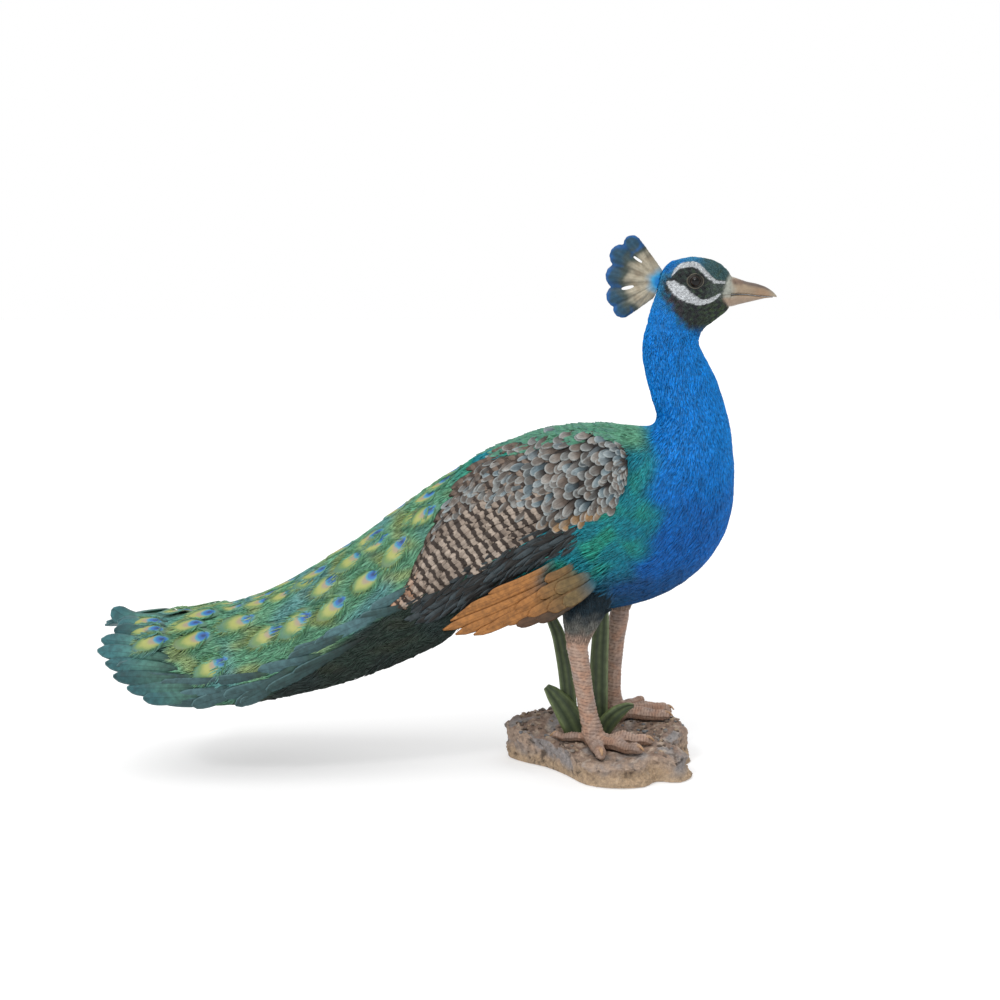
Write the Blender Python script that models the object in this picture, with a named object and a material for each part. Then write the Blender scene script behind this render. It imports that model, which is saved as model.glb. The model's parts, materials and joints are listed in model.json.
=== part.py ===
"""Painted resin garden statue of a standing peacock, as separate closed solids.

The bird faces +X, its left side is +Y and +Z is up. The origin is on the underside of the rock, below the
space between the two feet. Lengths in the tables are millimetres and become metres in point().
The body is drawn as a museum sculptor would: by its back line, its belly line and its half width.
"""

import math

import bmesh
import bpy
import numpy as np
from mathutils import Matrix, Vector
from mathutils.bvhtree import BVHTree

MM = 0.001
GAP = 0.3  # clear space between two neighbouring pieces
RIGHT, LEFT = -1, 1  # the sign of Y on each side of the bird

# Driving dimensions, in millimetres.
HEAD_SIDES, NECK_SIDES, TRUNK_SIDES = 18, 32, 44  # faces round each part of the body
RINGS_PER_SPAN = 2  # rings from one station to the next
TRUNK_RINGS_PER_SPAN = 4
CLUMP_SPACING, CLUMP_HEIGHT = 33.0, 1.5  # the low humps that the breast feathers lie in
CLUMPS_START = 28.0  # they are in front of the wing only
EYE_RADIUS = 7.0
EYE_PLACE = (113.5, 17.4, 607)
CREST_THICKNESS, CREST_SIDES = 9.0, 8
TRAIN_RIM = 7.0  # thickness of the train's shell at its lower edge
GROUND_AT_CENTRE = 41.0  # top of the rock below the bird
GROUND_RISE = 0.10  # the rock climbs towards the left foot

# A station is: back x, back z, belly x, belly z, half width, share of the depth at which it is widest.
HEAD = [
    (160, 613, 158, 576, 12.5, 0.55),
    (152, 622, 153, 569, 16.0, 0.52),
    (136, 632, 144, 562, 20.0, 0.48),
    (112, 636, 134, 553, 22.5, 0.48),
    (88, 628, 126, 546, 23.5, 0.50),
    (71, 605, 123, 541, 24.5, 0.52),
    (61, 573, 121, 535, 26.0, 0.52),
]
NECK = [
    (52, 545, 122, 528, 28.0, 0.50),
    (50, 518, 131, 511, 30.0, 0.50),
    (55, 490, 144, 486, 33.0, 0.50),
    (63, 462, 154, 456, 38.0, 0.50),
    (70, 440, 161, 430, 44.0, 0.50),
]
TRUNK = [
    (70, 431, 166, 398, 53.0, 0.52),
    (62, 428, 167, 360, 63.0, 0.54),
    (48, 429, 164, 322, 70.0, 0.56),
    (30, 431, 152, 286, 75.0, 0.56),
    (8, 433, 128, 252, 78.0, 0.56),
    (-16, 433, 97, 227, 79.0, 0.55),
    (-42, 431, 60, 210, 79.0, 0.54),
    (-70, 426, 20, 200, 78.0, 0.54),
    (-98, 417, -18, 195, 76.0, 0.54),
    (-126, 406, -56, 193, 75.0, 0.56),
    (-152, 394, -92, 190, 76.0, 0.60),
]

# A train station is: ridge x, z; lower edge x, z; how far the hollow below reaches from edge to ridge, as a
# share, or below the edge where it is negative; half width at the edge.
TRAIN_ROOT = [
    (-152, 394, -114, 262, -0.56, 77),
    (-176, 378, -135, 232, -0.33, 79),
    (-206, 358, -159, 202, 0.16, 83),
    (-236, 338, -187, 176, 0.45, 89),
    (-266, 315, -219, 160, 0.62, 95),
]
TRAIN_MIDDLE = [
    (-300, 290, -256, 145, 0.72, 100),
    (-340, 264, -302, 129, 0.79, 105),
    (-380, 239, -352, 117, 0.83, 110),
    (-420, 219, -400, 107, 0.85, 114),
]
TRAIN_END = [
    (-460, 206, -448, 101, 0.86, 116),
    (-500, 196, -494, 100, 0.86, 113),
    (-538, 190, -534, 105, 0.85, 103),
    (-570, 188, -566, 118, 0.84, 88),
    (-596, 185, -592, 134, 0.82, 66),
]

# Feathers that fringe the end of the train: the angle round the arch, then the x, y, z of its tip.
FRINGE = [
    (-72, -532, -100, 104),
    (-54, -580, -74, 119),
    (-33, -611, -42, 135),
    (-11, -633, -6, 148),
    (13, -629, 30, 158),
    (33, -622, 62, 178),
    (54, -590, 84, 130),
    (72, -540, 102, 103),
]
FRINGE_START = 0.71  # where they start, as a share of the train's length
FRINGE_HALF_WIDTH, FRINGE_THICKNESS = 19.0, 8.0
FRINGE_SIDES = 6
FRINGE_SAG = -2.0

# The folded wing, seen from the side: upper and lower edge (x, z) from the shoulder to the tip.
WING_EDGES = [
    ((31, 396), (29, 376)),
    ((27, 414), (12, 338)),
    ((-12, 423), (-32, 320)),
    ((-60, 421), (-72, 308)),
    ((-105, 410), (-112, 284)),
    ((-146, 386), (-150, 267)),
    ((-180, 345), (-190, 245)),
    ((-208, 300), (-222, 230)),
    ((-232, 240), (-236, 228)),
]
WING_THICKNESS, WING_EDGE = 8.5, 3.0
# The dark secondaries below it.
SECONDARY_EDGES = [
    ((-34, 316), (-32, 296)),
    ((-74, 304), (-66, 274)),
    ((-112, 280), (-108, 249)),
    ((-150, 263), (-146, 231)),
    ((-190, 241), (-184, 210)),
    ((-216, 229), (-206, 203)),
]
SECONDARY_THICKNESS = 5.5
# The orange primaries: upper edge, lower edge, and how far out each lies.
PRIMARY_EDGES = [
    ((-18, 262), (-24, 238), 73),
    ((-40, 272), (-42, 224), 77),
    ((-66, 267), (-68, 216), 80),
    ((-100, 248), (-102, 203), 82),
    ((-136, 230), (-138, 190), 84),
    ((-166, 213), (-166, 183), 86),
    ((-188, 197), (-186, 184), 87),
]
PRIMARY_THICKNESS = 10.0

# The bill: x, top z, mouth z, bottom z, half width.
BILL = [
    (160.6, 613.0, 590.8, 576.2, 11.6),
    (168, 610.3, 591.2, 578.4, 10.0),
    (178, 606.4, 590.8, 580.8, 8.4),
    (190, 604.1, 589.2, 583.6, 6.8),
    (201, 600.4, 588.3, 586.4, 5.0),
    (208.5, 595.8, 588.0, 586.9, 3.6),
]
BILL_TIP = (216, 586.8)

# Crest vanes: root x, z; tip centre x, z; tip radius.
CREST_VANES = [
    (71, 615, 38, 652, 11.5),
    (71, 610, 25, 637, 15.5),
    (71, 605, 22, 613, 17.0),
    (69, 600, 21, 589, 15.0),
    (67, 596, 27, 574, 12.5),
]
CREST_ROOT_RADIUS = 6.5
CREST_SLOTS = [((38, 638), (51, 629), 1.5), ((24, 597), (41, 601), 2.2)]

# Legs: rings of x, y, z, radius along x, radius along y.
LEGS = {
    "right": {
        "thigh": [(-4, -28, 264, 34, 21), (-10, -41, 236, 34, 23), (-20, -48, 203, 29, 22),
                  (-27, -50, 174, 18, 16.5), (-29, -50, 157, 13.8, 13.2)],
        "shank": [(-28.5, -50, 156.7, 13.8, 13.2), (-24, -48, 130, 12.4, 12), (-19, -46, 98, 11.8, 11.4),
                  (-14, -45.5, 74, 12, 11.8), (-11, -45, 60.5, 13.6, 13)],
        "ankle": (-10, -45, 60.2),
        "toes": [(-60, -24), (66, -54), (51, -88), (0, -106)],
    },
    "left": {
        "thigh": [(24, 28, 264, 32, 21), (27, 40, 236, 28, 22), (29, 47, 207, 20, 18),
                  (29, 48, 186, 14.4, 13.8)],
        "shank": [(29, 48, 185.7, 14.4, 13.8), (24, 46.5, 150, 12, 11.8), (21, 45.5, 110, 11, 10.8),
                  (20, 45, 84, 11.4, 11.2), (21, 45, 71.5, 13, 12.6)],
        "ankle": (22, 45, 71.2),
        "toes": [(-30, 50), (96, 34), (100, 66), (64, 98)],
    },
}
TOE_RADIUS, TOE_TIP_RADIUS = 9.8, 5.2
TOE_SIDES = 8
CLAW_TIP_CLEARANCE = 1.5

# Outline of the rock, seen from above.
ROCK_OUTLINE = [
    (-119, 30), (-101, 0), (-72, -25), (-47, -63), (-24, -106), (10, -121), (46, -116), (63, -92),
    (91, -96), (110, -63), (93, -34), (114, 2), (106, 54), (84, 94), (38, 92), (-10, 102), (-58, 93),
    (-100, 64),
]
# Rings of the rock, from the floor up: size as a share of the outline, height as a share of the ground's,
# and how far it leans towards +X.
ROCK_RINGS = [(1.0, 0.0, 5), (1.01, 0.16, 4), (1.0, 0.32, 3), (0.97, 0.50, 1), (0.99, 0.68, 0),
              (1.0, 0.84, -1), (0.95, 0.98, -3), (0.84, 1.0, -2), (0.70, 1.0, -1), (0.52, 1.0, 0),
              (0.34, 1.0, 0), (0.17, 1.0, 0)]
ROCK_POINTS_PER_SPAN = 3
ROCK_ROUGHNESS = 0.026  # how far the lumps of the wall stand out, as a share of the outline

# Leaves: centre line x, y, z with half width and the way the flat side faces, in degrees from +X to +Y.
LEAVES = {
    "leaf_tall_rear": ([(-32, -6, 40, 8.5), (-37, -4, 80, 9.5), (-42, -2, 125, 9.5), (-50, 0, 165, 8.5),
                        (-61, 2, 189, 6.5)], -90),
    "leaf_tall_front": ([(3, 8, 44, 9.5), (1, 8, 85, 11.5), (1, 8, 130, 11.5), (3, 8, 170, 10.5),
                         (5, 6, 210, 7)], -90),
    "leaf_short_rear": ([(-25, -13, 38, 14), (-33, -13, 58, 16.5), (-46, -14, 79, 13.5), (-58, -15, 94, 9.5),
                         (-66, -15, 102, 4.5)], -75),
    "leaf_short_front": ([(4, -10, 40, 10), (12, -10, 56, 12), (24, -10, 68, 10), (36, -9, 75, 6),
                          (44, -8, 76, 2.5)], -80),
}
LEAF_THICKNESS = 6.5

# The true tail feathers under the train: middle x, z, half width.
TAIL = [(-114, 193, 40), (-165, 187, 52), (-215, 182, 58), (-265, 173, 63), (-315, 163, 66), (-360, 154, 62),
        (-390, 149, 46)]
TAIL_THICKNESS = 8.0

COLOURS = {
    "blue": ((0.01, 0.13, 0.52), 0.45),
    "teal": ((0.02, 0.25, 0.28), 0.5),
    "green": ((0.05, 0.20, 0.12), 0.5),
    "barred": ((0.22, 0.17, 0.14), 0.6),
    "dark": ((0.03, 0.045, 0.05), 0.55),
    "orange": ((0.50, 0.23, 0.09), 0.6),
    "flesh": ((0.50, 0.31, 0.22), 0.6),
    "bill": ((0.48, 0.35, 0.24), 0.45),
    "eye": ((0.02, 0.012, 0.008), 0.08),
    "crest": ((0.10, 0.16, 0.22), 0.5),
    "rock": ((0.27, 0.20, 0.15), 0.8),
    "leaf": ((0.06, 0.13, 0.05), 0.5),
}


def clear_scene():
    for obj in list(bpy.data.objects):
        bpy.data.objects.remove(obj)


def point(x, y, z):
    return Vector((x, y, z)) * MM


def material(name):
    found = bpy.data.materials.get(name)
    if found:
        return found
    colour, roughness = COLOURS[name]
    made = bpy.data.materials.new(name)
    made.use_nodes = True
    shader = made.node_tree.nodes["Principled BSDF"]
    shader.inputs["Base Color"].default_value = (*colour, 1)
    shader.inputs["Roughness"].default_value = roughness
    shader.inputs["Metallic"].default_value = 0.0
    return made


def smooth_rows(rows, per_span):
    """A Catmull-Rom curve through rows of numbers, with per_span steps from each row to the next."""
    table = np.array(rows, float)
    padded = np.vstack([2 * table[0] - table[1], table, 2 * table[-1] - table[-2]])
    made = []
    for i in range(len(table) - 1):
        before, start, end, after = padded[i : i + 4]
        for step in range(per_span):
            t = step / per_span
            made.append(
                0.5 * (2 * start + (end - before) * t
                       + (2 * before - 5 * start + 4 * end - after) * t**2
                       + (3 * start - before - 3 * end + after) * t**3)
            )
    made.append(table[-1])
    return np.array(made)


def new_object(name, bm, colour):
    """Made of triangles, so that a swollen copy of a bent face keeps the same diagonal."""
    mesh = bpy.data.meshes.new(name)
    bmesh.ops.triangulate(bm, faces=bm.faces)
    bmesh.ops.recalc_face_normals(bm, faces=bm.faces)
    bm.to_mesh(mesh)
    bm.free()
    mesh.materials.append(material(colour))
    mesh.shade_smooth()
    obj = bpy.data.objects.new(name, mesh)
    bpy.context.scene.collection.objects.link(obj)
    return obj


def loft(name, rings, colour, tip=None):
    """A closed skin over rings of points. It ends in a flat cap, or in a single tip point."""
    bm = bmesh.new()
    rows = [[bm.verts.new(p) for p in ring] for ring in rings]
    sides = len(rings[0])
    for a, b in zip(rows, rows[1:]):
        for i in range(sides):
            bm.faces.new((a[i], a[(i + 1) % sides], b[(i + 1) % sides], b[i]))
    bm.faces.new(rows[0][::-1])
    if tip is None:
        bm.faces.new(rows[-1])
    else:
        end = bm.verts.new(tip)
        for i in range(sides):
            bm.faces.new((rows[-1][i], rows[-1][(i + 1) % sides], end))
    return new_object(name, bm, colour)


def oval(centre, across, up, sides):
    """An ellipse of points round centre, from its two half axes."""
    turns = [2 * math.pi * i / sides for i in range(sides)]
    return [centre + across * math.cos(t) + up * math.sin(t) for t in turns]


def body_ring(row, sides):
    """A cross-section: two half ellipses that meet where the body is widest."""
    back_x, back_z, belly_x, belly_z, half_width, widest = row
    back, belly = point(back_x, 0, back_z), point(belly_x, 0, belly_z)
    middle = back.lerp(belly, widest)
    ring = []
    for i in range(sides):
        t = 2 * math.pi * i / sides
        height = back - middle if math.cos(t) > 0 else middle - belly
        ring.append(middle + height * math.cos(t) + point(0, half_width * math.sin(t), 0))
    return ring


def clump_height(p):
    """Height of the humps that the feathers lie in, on the breast and the neck."""
    x, y, z = p / MM
    turn = 2 * math.pi / CLUMP_SPACING
    downwards = math.sin(turn * (0.9 * z + 0.4 * x) + 1.3 * math.sin(2 * math.pi * y / 41))
    across = math.sin(turn * (1.1 * y + 0.8 * x - 0.3 * z))
    in_front = min(1.0, max(0.0, (x - CLUMPS_START) / 20))
    return CLUMP_HEIGHT / 2 * downwards * across * in_front


def with_clumps(rings):
    """The rings with the humps on them, which fade out at both ends of the part."""
    made = []
    for k, ring in enumerate(rings):
        share = k / (len(rings) - 1)
        fade = min(1.0, 7 * share, 7 * (1 - share))
        middle = sum(ring, Vector()) / len(ring)
        made.append([p + (p - middle).normalized() * clump_height(p) * fade * MM for p in ring])
    return made


def body_part(name, rows, next_row, colour, sides, per_span):
    """A length of the body from its first station to the next part's first station, less the gap."""
    rings = [body_ring(row, sides) for row in smooth_rows(list(rows) + [next_row], per_span)]
    rings[-1] = pulled_back(rings[-1], rings[-2])
    return loft(name, with_clumps(rings), colour)


def pulled_back(ring, towards):
    """The ring moved by the gap towards its neighbour, so that the next part stays clear."""
    widest = max((a - b).length for a, b in zip(ring, towards))
    narrowest = min((a - b).length for a, b in zip(ring, towards))
    share = min(0.5, GAP * MM / max(narrowest, 0.2 * widest))
    return [a.lerp(b, share) for a, b in zip(ring, towards)]


TRAIN_ARCH_STEPS, TRAIN_UNDER_STEPS = 12, 6


def arch_ring(row):
    """A cross-section of the train: the arch over the ridge, then the underside back again, in one plane."""
    ridge_x, ridge_z, edge_x, edge_z, hollow, half = row
    edge = point(edge_x, 0, edge_z)
    rise = point(ridge_x, 0, ridge_z) - edge
    ring = []
    for i in range(TRAIN_ARCH_STEPS + 1):
        t = math.pi * (i / TRAIN_ARCH_STEPS - 0.5)
        ring.append(edge + rise * math.cos(t) + point(0, half * math.sin(t), 0))
    for i in range(TRAIN_UNDER_STEPS + 1):
        t = math.pi * (0.5 - i / TRAIN_UNDER_STEPS)
        ring.append(edge + rise * hollow * math.cos(t) + point(0, (half - TRAIN_RIM) * math.sin(t), 0))
    return ring


def train_part(name, rows, next_row, per_span):
    stations = list(rows) + ([next_row] if next_row else [])
    rings = [arch_ring(row) for row in smooth_rows(stations, per_span)]
    if next_row:
        rings[-1] = pulled_back(rings[-1], rings[-2])
    return loft(name, rings, "green")


def train_surface(along, degrees, lift=0.0):
    """A point on the train: along runs from 0 at the first station to 1 at the last, and on past it."""
    rows = np.array(TRAIN_ROOT + TRAIN_MIDDLE + TRAIN_END, float)
    at = along * (len(rows) - 1)
    i = min(int(at), len(rows) - 2)
    row = rows[i] + (rows[i + 1] - rows[i]) * (at - i)
    t = math.radians(degrees)
    ridge, edge = point(row[0], 0, row[1]), point(row[2], 0, row[3])
    out = Vector((0, math.sin(t), 0)) + (ridge - edge).normalized() * math.cos(t)
    half = row[5]
    return edge + (ridge - edge) * math.cos(t) + point(0, half * math.sin(t), 0) + out * lift * MM


def boolean(obj, other, operation, solver="EXACT"):
    modifier = obj.modifiers.new(operation.lower(), "BOOLEAN")
    modifier.operation = operation
    modifier.solver = solver
    modifier.object = other
    other.hide_render = True
    other.display_type = "WIRE"


def apply_modifiers(obj):
    """Bakes the object's modifiers into its mesh, so that later cutters read the finished shape."""
    graph = bpy.context.evaluated_depsgraph_get()
    graph.update()
    mesh = bpy.data.meshes.new_from_object(obj.evaluated_get(graph))
    obj.modifiers.clear()
    obj.data = mesh


def grown(obj, by=1.5 * GAP):
    """A hidden copy of a solid, swollen along its normals, which cuts the gap from its neighbours."""
    copy = bpy.data.objects.new(obj.name + "_grown", obj.data.copy())
    bpy.context.scene.collection.objects.link(copy)
    mesh = copy.data
    normals = [v.normal.copy() for v in mesh.vertices]
    for vertex, normal in zip(mesh.vertices, normals):
        vertex.co += normal * by * MM
    return copy


def carve(obj, *neighbours):
    """Takes each neighbour, with the gap round it, out of the solid."""
    for neighbour in neighbours:
        cutter = grown(neighbour)
        boolean(obj, cutter, "DIFFERENCE")
        apply_modifiers(obj)
        bpy.data.objects.remove(cutter)
    keep_largest(obj)


def keep_largest(obj):
    """Drops the loose crumbs that a cut can leave."""
    bm = bmesh.new()
    bm.from_mesh(obj.data)
    bm.verts.ensure_lookup_table()
    unseen, groups = set(bm.verts), []
    while unseen:
        stack, group = [unseen.pop()], []
        while stack:
            vertex = stack.pop()
            group.append(vertex)
            for edge in vertex.link_edges:
                other = edge.other_vert(vertex)
                if other in unseen:
                    unseen.discard(other)
                    stack.append(other)
        groups.append(group)
    groups.sort(key=len)
    for group in groups[:-1]:
        bmesh.ops.delete(bm, geom=group, context="VERTS")
    bm.to_mesh(obj.data)
    bm.free()


def join_all(obj, others):
    """Joins overlapping solids into one closed solid. EXACT drops blades that cross, so MANIFOLD."""
    for other in others:
        boolean(obj, other, "UNION", "MANIFOLD")
        apply_modifiers(obj)
        bpy.data.objects.remove(other)


def make_bill():
    """Both halves of the bill, closed along the mouth line."""
    rows = smooth_rows(BILL, RINGS_PER_SPAN)
    sides = 12
    upper = [body_ring((x, top, x, mouth + GAP / 2, half, 0.92), sides) for x, top, mouth, _, half in rows]
    lower = [body_ring((x, mouth - GAP / 2, x, bottom, 0.93 * half, 0.12), sides)
             for x, _, mouth, bottom, half in rows]
    tip_x, tip_z = BILL_TIP
    lower_tip_z = tip_z + 0.2
    return (loft("bill_upper", upper, "bill", point(tip_x, 0, tip_z)),
            loft("bill_lower", lower, "bill", point(tip_x - 5, 0, lower_tip_z)))


def make_eye(name, side):
    x, y, z = EYE_PLACE
    bm = bmesh.new()
    bmesh.ops.create_uvsphere(bm, u_segments=10, v_segments=7, radius=EYE_RADIUS * MM,
                              matrix=Matrix.Translation(point(x, side * y, z)))
    return new_object(name, bm, "eye")


def make_crest():
    """Five overlapping vanes in one fan, with the two slots between them."""
    vanes = []
    for i, (root_x, root_z, tip_x, tip_z, radius) in enumerate(CREST_VANES):
        root, tip = point(root_x, 0, root_z), point(tip_x, 0, tip_z)
        along = (tip - root).normalized()
        across = Vector((along.z, 0, -along.x))
        end = tip + along * radius * MM
        rings = []
        for share in (0.0, 0.3, 0.5, 0.68, 0.82, 0.92, 0.98):
            centre = root.lerp(end, share)
            # The vane widens to its tip circle, then closes round it.
            past = max(0.0, (centre - tip).dot(along)) / MM
            open_width = CREST_ROOT_RADIUS + (radius - CREST_ROOT_RADIUS) * min(1.0, share * 1.15) ** 0.9
            width = min(open_width, math.sqrt(max(radius**2 - past**2, 0.1)))
            # Each vane is a little thinner than the last, so that no two have faces in one plane.
            thick = (CREST_THICKNESS / 2 - 0.23 * i) * (1.0 if share < 0.9 else 0.75)
            rings.append(oval(centre, across * width * MM, Vector((0, thick * MM, 0)), CREST_SIDES))
        vanes.append(loft(f"crest_vane_{i}", rings, "crest", end))
    crest = vanes[0]
    join_all(crest, vanes[1:])
    for i, (start, end, half) in enumerate(CREST_SLOTS):
        a, b = point(start[0], 0, start[1]), point(end[0], 0, end[1])
        along = (b - a).normalized()
        across = Vector((along.z, 0, -along.x)) * half * MM
        sides = [oval(a.lerp(b, 0.5) + Vector((0, y * MM, 0)), (b - a) / 2, across, 12) for y in (-12, 12)]
        slot = loft(f"slot_{i}", sides, "crest")
        boolean(crest, slot, "DIFFERENCE")
        apply_modifiers(crest)
        bpy.data.objects.remove(slot)
    crest.name = "crest"
    return crest


def solid_tree(*objects):
    """One search tree over the faces of several solids."""
    corners, faces = [], []
    for obj in objects:
        start = len(corners)
        corners += [v.co.copy() for v in obj.data.vertices]
        faces += [[start + i for i in p.vertices] for p in obj.data.polygons]
    return BVHTree.FromPolygons(corners, faces)


def body_surface(tree, x, z, side):
    """Where the body is seen at x, z from one side. Three rays, so that none is lost in a joint's gap."""
    hits = [tree.ray_cast(point(x + shift, side * 400, z), Vector((0, -side, 0))) for shift in (-1, 0, 1)]
    outermost = max((hit for hit in hits if hit[0]), key=lambda hit: side * hit[0].y)
    return outermost[0], outermost[1]


def shell_on(name, tree, edges, side, thickness, colour, per_span, columns):
    """A domed plate that hugs the body between an upper and a lower edge given in side view."""
    stations = smooth_rows([(*upper, *lower) for upper, lower in edges], per_span)
    outer, inner = [], []
    for upper_x, upper_z, lower_x, lower_z in stations:
        for j in range(columns + 1):
            share = j / columns
            x = upper_x + (lower_x - upper_x) * share
            z = upper_z + (lower_z - upper_z) * share
            hit, normal = body_surface(tree, x, z, side)
            dome = math.sin(math.pi * share) ** 0.6 if 0 < share < 1 else 0.0
            height = WING_EDGE + (thickness - WING_EDGE) * dome
            outer.append(hit + normal * height * MM)
            inner.append(hit - normal * 2.5 * MM)
    bm = bmesh.new()
    width = columns + 1
    top = [bm.verts.new(p) for p in outer]
    bottom = [bm.verts.new(p) for p in inner]
    count = len(stations)
    for i in range(count - 1):
        for j in range(columns):
            a, b, c, d = i * width + j, i * width + j + 1, (i + 1) * width + j + 1, (i + 1) * width + j
            bm.faces.new((top[a], top[b], top[c], top[d]))
            bm.faces.new((bottom[d], bottom[c], bottom[b], bottom[a]))
        for j in (0, columns):
            a, b = i * width + j, (i + 1) * width + j
            bm.faces.new((top[a], top[b], bottom[b], bottom[a]))
    for i in (0, count - 1):
        for j in range(columns):
            a, b = i * width + j, i * width + j + 1
            bm.faces.new((top[a], top[b], bottom[b], bottom[a]))
    return new_object(name, bm, colour)


def make_primaries(name, side):
    """The long orange flight feathers, one stiff bundle whose tips stand free of the flank."""
    flat = [(*upper, *lower, out) for upper, lower, out in PRIMARY_EDGES]
    rings = []
    for upper_x, upper_z, lower_x, lower_z, out in flat:
        upper, lower = point(upper_x, side * (out + 1), upper_z), point(lower_x, side * (out - 3), lower_z)
        rings.append(oval((upper + lower) / 2, (upper - lower) / 2, point(0, PRIMARY_THICKNESS / 2, 0), 12))
    return loft(name, rings, "orange")


def make_limb(name, rows, colour, sides, per_span):
    rings = []
    for x, y, z, along_x, along_y in smooth_rows(rows, per_span):
        rings.append(oval(point(x, y, z), point(along_x, 0, 0), point(0, along_y, 0), sides))
    return loft(name, rings, colour)


def ground(x, y):
    """Height of the rock's top, with a few broad bumps."""
    bumps = 2.2 * math.sin(0.055 * x + 1.1) * math.cos(0.047 * y) + 1.4 * math.sin(0.11 * x - 0.09 * y)
    bumps += 1.3 * math.sin(0.21 * x + 1.2 * math.sin(0.13 * y)) * math.cos(0.19 * y - 0.4)
    right_lump = 7 * math.exp(-(((x - 108) / 22) ** 2) - ((y - 16) / 34) ** 2)
    left_lump = 5 * math.exp(-(((x + 96) / 30) ** 2) - ((y - 62) / 40) ** 2)
    return GROUND_AT_CENTRE + GROUND_RISE * y + bumps + right_lump + left_lump


def make_foot(name, leg, rock):
    """Ankle and four toes, each with knuckles and a claw, as one solid that is let into the rock."""
    x, y, z = leg["ankle"]
    base = ground(x, y)
    ankle_rows = [(x, y, z, 13, 12.6), (x + 1, y, z - 8, 14.5, 14), (x + 3, y, base + 5, 15, 15),
                  (x + 3, y, base - 2, 12, 12)]
    foot = make_limb(name, ankle_rows, "flesh", 10, 1)
    toes = []
    for i, (tip_x, tip_y) in enumerate(leg["toes"]):
        reach = 0.72 if i == 0 else 1.0
        rings = []
        for share in (0.0, 0.3, 0.5, 0.7, 0.86, 0.95):
            px, py = x + (tip_x - x) * share, y + (tip_y - y) * share
            knuckle = 1 + 0.10 * math.cos(share * 4 * math.pi)
            radius = TOE_RADIUS * knuckle * (1 - 0.16 * share) * reach
            if share > 0.9:
                radius = TOE_TIP_RADIUS * reach
            height = max(ground(px, py) - 1.0 + radius * 0.95, ground(px, py) + 12 * (1 - share) - 4)
            forward = Vector((tip_x - x, tip_y - y, 0)).normalized()
            across = Vector((-forward.y, forward.x, 0))
            rings.append(oval(point(px, py, height), across * radius * MM, point(0, 0, radius), TOE_SIDES))
        tip = point(tip_x, tip_y, ground(tip_x, tip_y) + CLAW_TIP_CLEARANCE)
        toes.append(loft(f"{name}_toe_{i}", rings, "flesh", tip))
    carve(rock, foot, *toes)
    join_all(foot, toes)


def make_rock():
    """A low rough slab with a flat underside."""
    closed = ROCK_OUTLINE + ROCK_OUTLINE[:2]
    outline = smooth_rows([ROCK_OUTLINE[-1]] + closed, ROCK_POINTS_PER_SPAN)
    outline = outline[ROCK_POINTS_PER_SPAN:-ROCK_POINTS_PER_SPAN]
    rings = []
    for k, (size, height, lean) in enumerate(ROCK_RINGS):
        on_wall = 0 < height < 0.95
        ring = []
        for i, (x, y) in enumerate(outline[:-1]):
            lump = math.sin(1.25 * i + 0.9 * k) + 0.6 * math.sin(0.57 * i - 1.6 * k)
            rough = 1 + (ROCK_ROUGHNESS * 0.6 * lump if on_wall else 0)
            px, py = x * size * rough + lean, y * size * rough
            ledge = 0.03 * math.sin(1.1 * i + 2.3 * k) if on_wall else 0
            ring.append(point(px, py, ground(px, py) * height * (1 + ledge)))
        rings.append(ring)
    return loft("rock", rings, "rock", point(0, 0, ground(0, 0)))


def make_leaf(name, rows, facing):
    """A thick strap leaf, lens-shaped in section, with a blunt tip."""
    normal = Vector((math.cos(math.radians(facing)), math.sin(math.radians(facing)), 0))
    centres = smooth_rows(rows, 2)
    rings = []
    for i, (x, y, z, half) in enumerate(centres):
        here = point(x, y, z)
        nearby = centres[min(i + 1, len(centres) - 1)] - centres[max(i - 1, 0)]
        along = Vector(nearby[:3]).normalized()
        across = along.cross(normal).normalized()
        rings.append(oval(here, across * half * MM, normal * LEAF_THICKNESS / 2 * MM, 8))
    return loft(name, rings, "leaf")


def make_tail():
    rings = []
    for x, z, half in TAIL:
        rings.append(oval(point(x, 0, z), point(0, half, 0), point(0, 0, TAIL_THICKNESS / 2), 10))
    return loft("tail", rings, "dark")


def fringe_feather(name, degrees, tip):
    """One blade that leaves the train's surface and bends to its own tip."""
    root = train_surface(FRINGE_START, degrees, 0.0)
    bend = train_surface(FRINGE_START + 0.2, degrees, FRINGE_SAG)
    across = Vector((0, math.cos(math.radians(degrees)), -math.sin(math.radians(degrees))))
    rings = []
    for t in (0.0, 0.4, 0.75, 0.95):
        centre = root * (1 - t) ** 2 + bend * 2 * t * (1 - t) + tip * t**2
        along = ((bend - root) * (1 - t) + (tip - bend) * t).normalized()
        side = (across - along * across.dot(along)).normalized()
        width = FRINGE_HALF_WIDTH * (1 if t < 0.6 else math.sqrt(1 - ((t - 0.6) / 0.42) ** 2))
        thick = FRINGE_THICKNESS / 2 * (1 - 0.6 * t)
        rings.append(oval(centre, side * width * MM, along.cross(side) * thick * MM, FRINGE_SIDES))
    return loft(name, rings, "green", tip)


def make_fringe(train_end):
    """Overlapping feather tips round the end of the train, joined to it."""
    feathers = []
    for i, (degrees, *tip) in enumerate(FRINGE):
        feathers.append(fringe_feather(f"fringe_{i}", degrees, point(*tip)))
    join_all(train_end, feathers)


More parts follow.
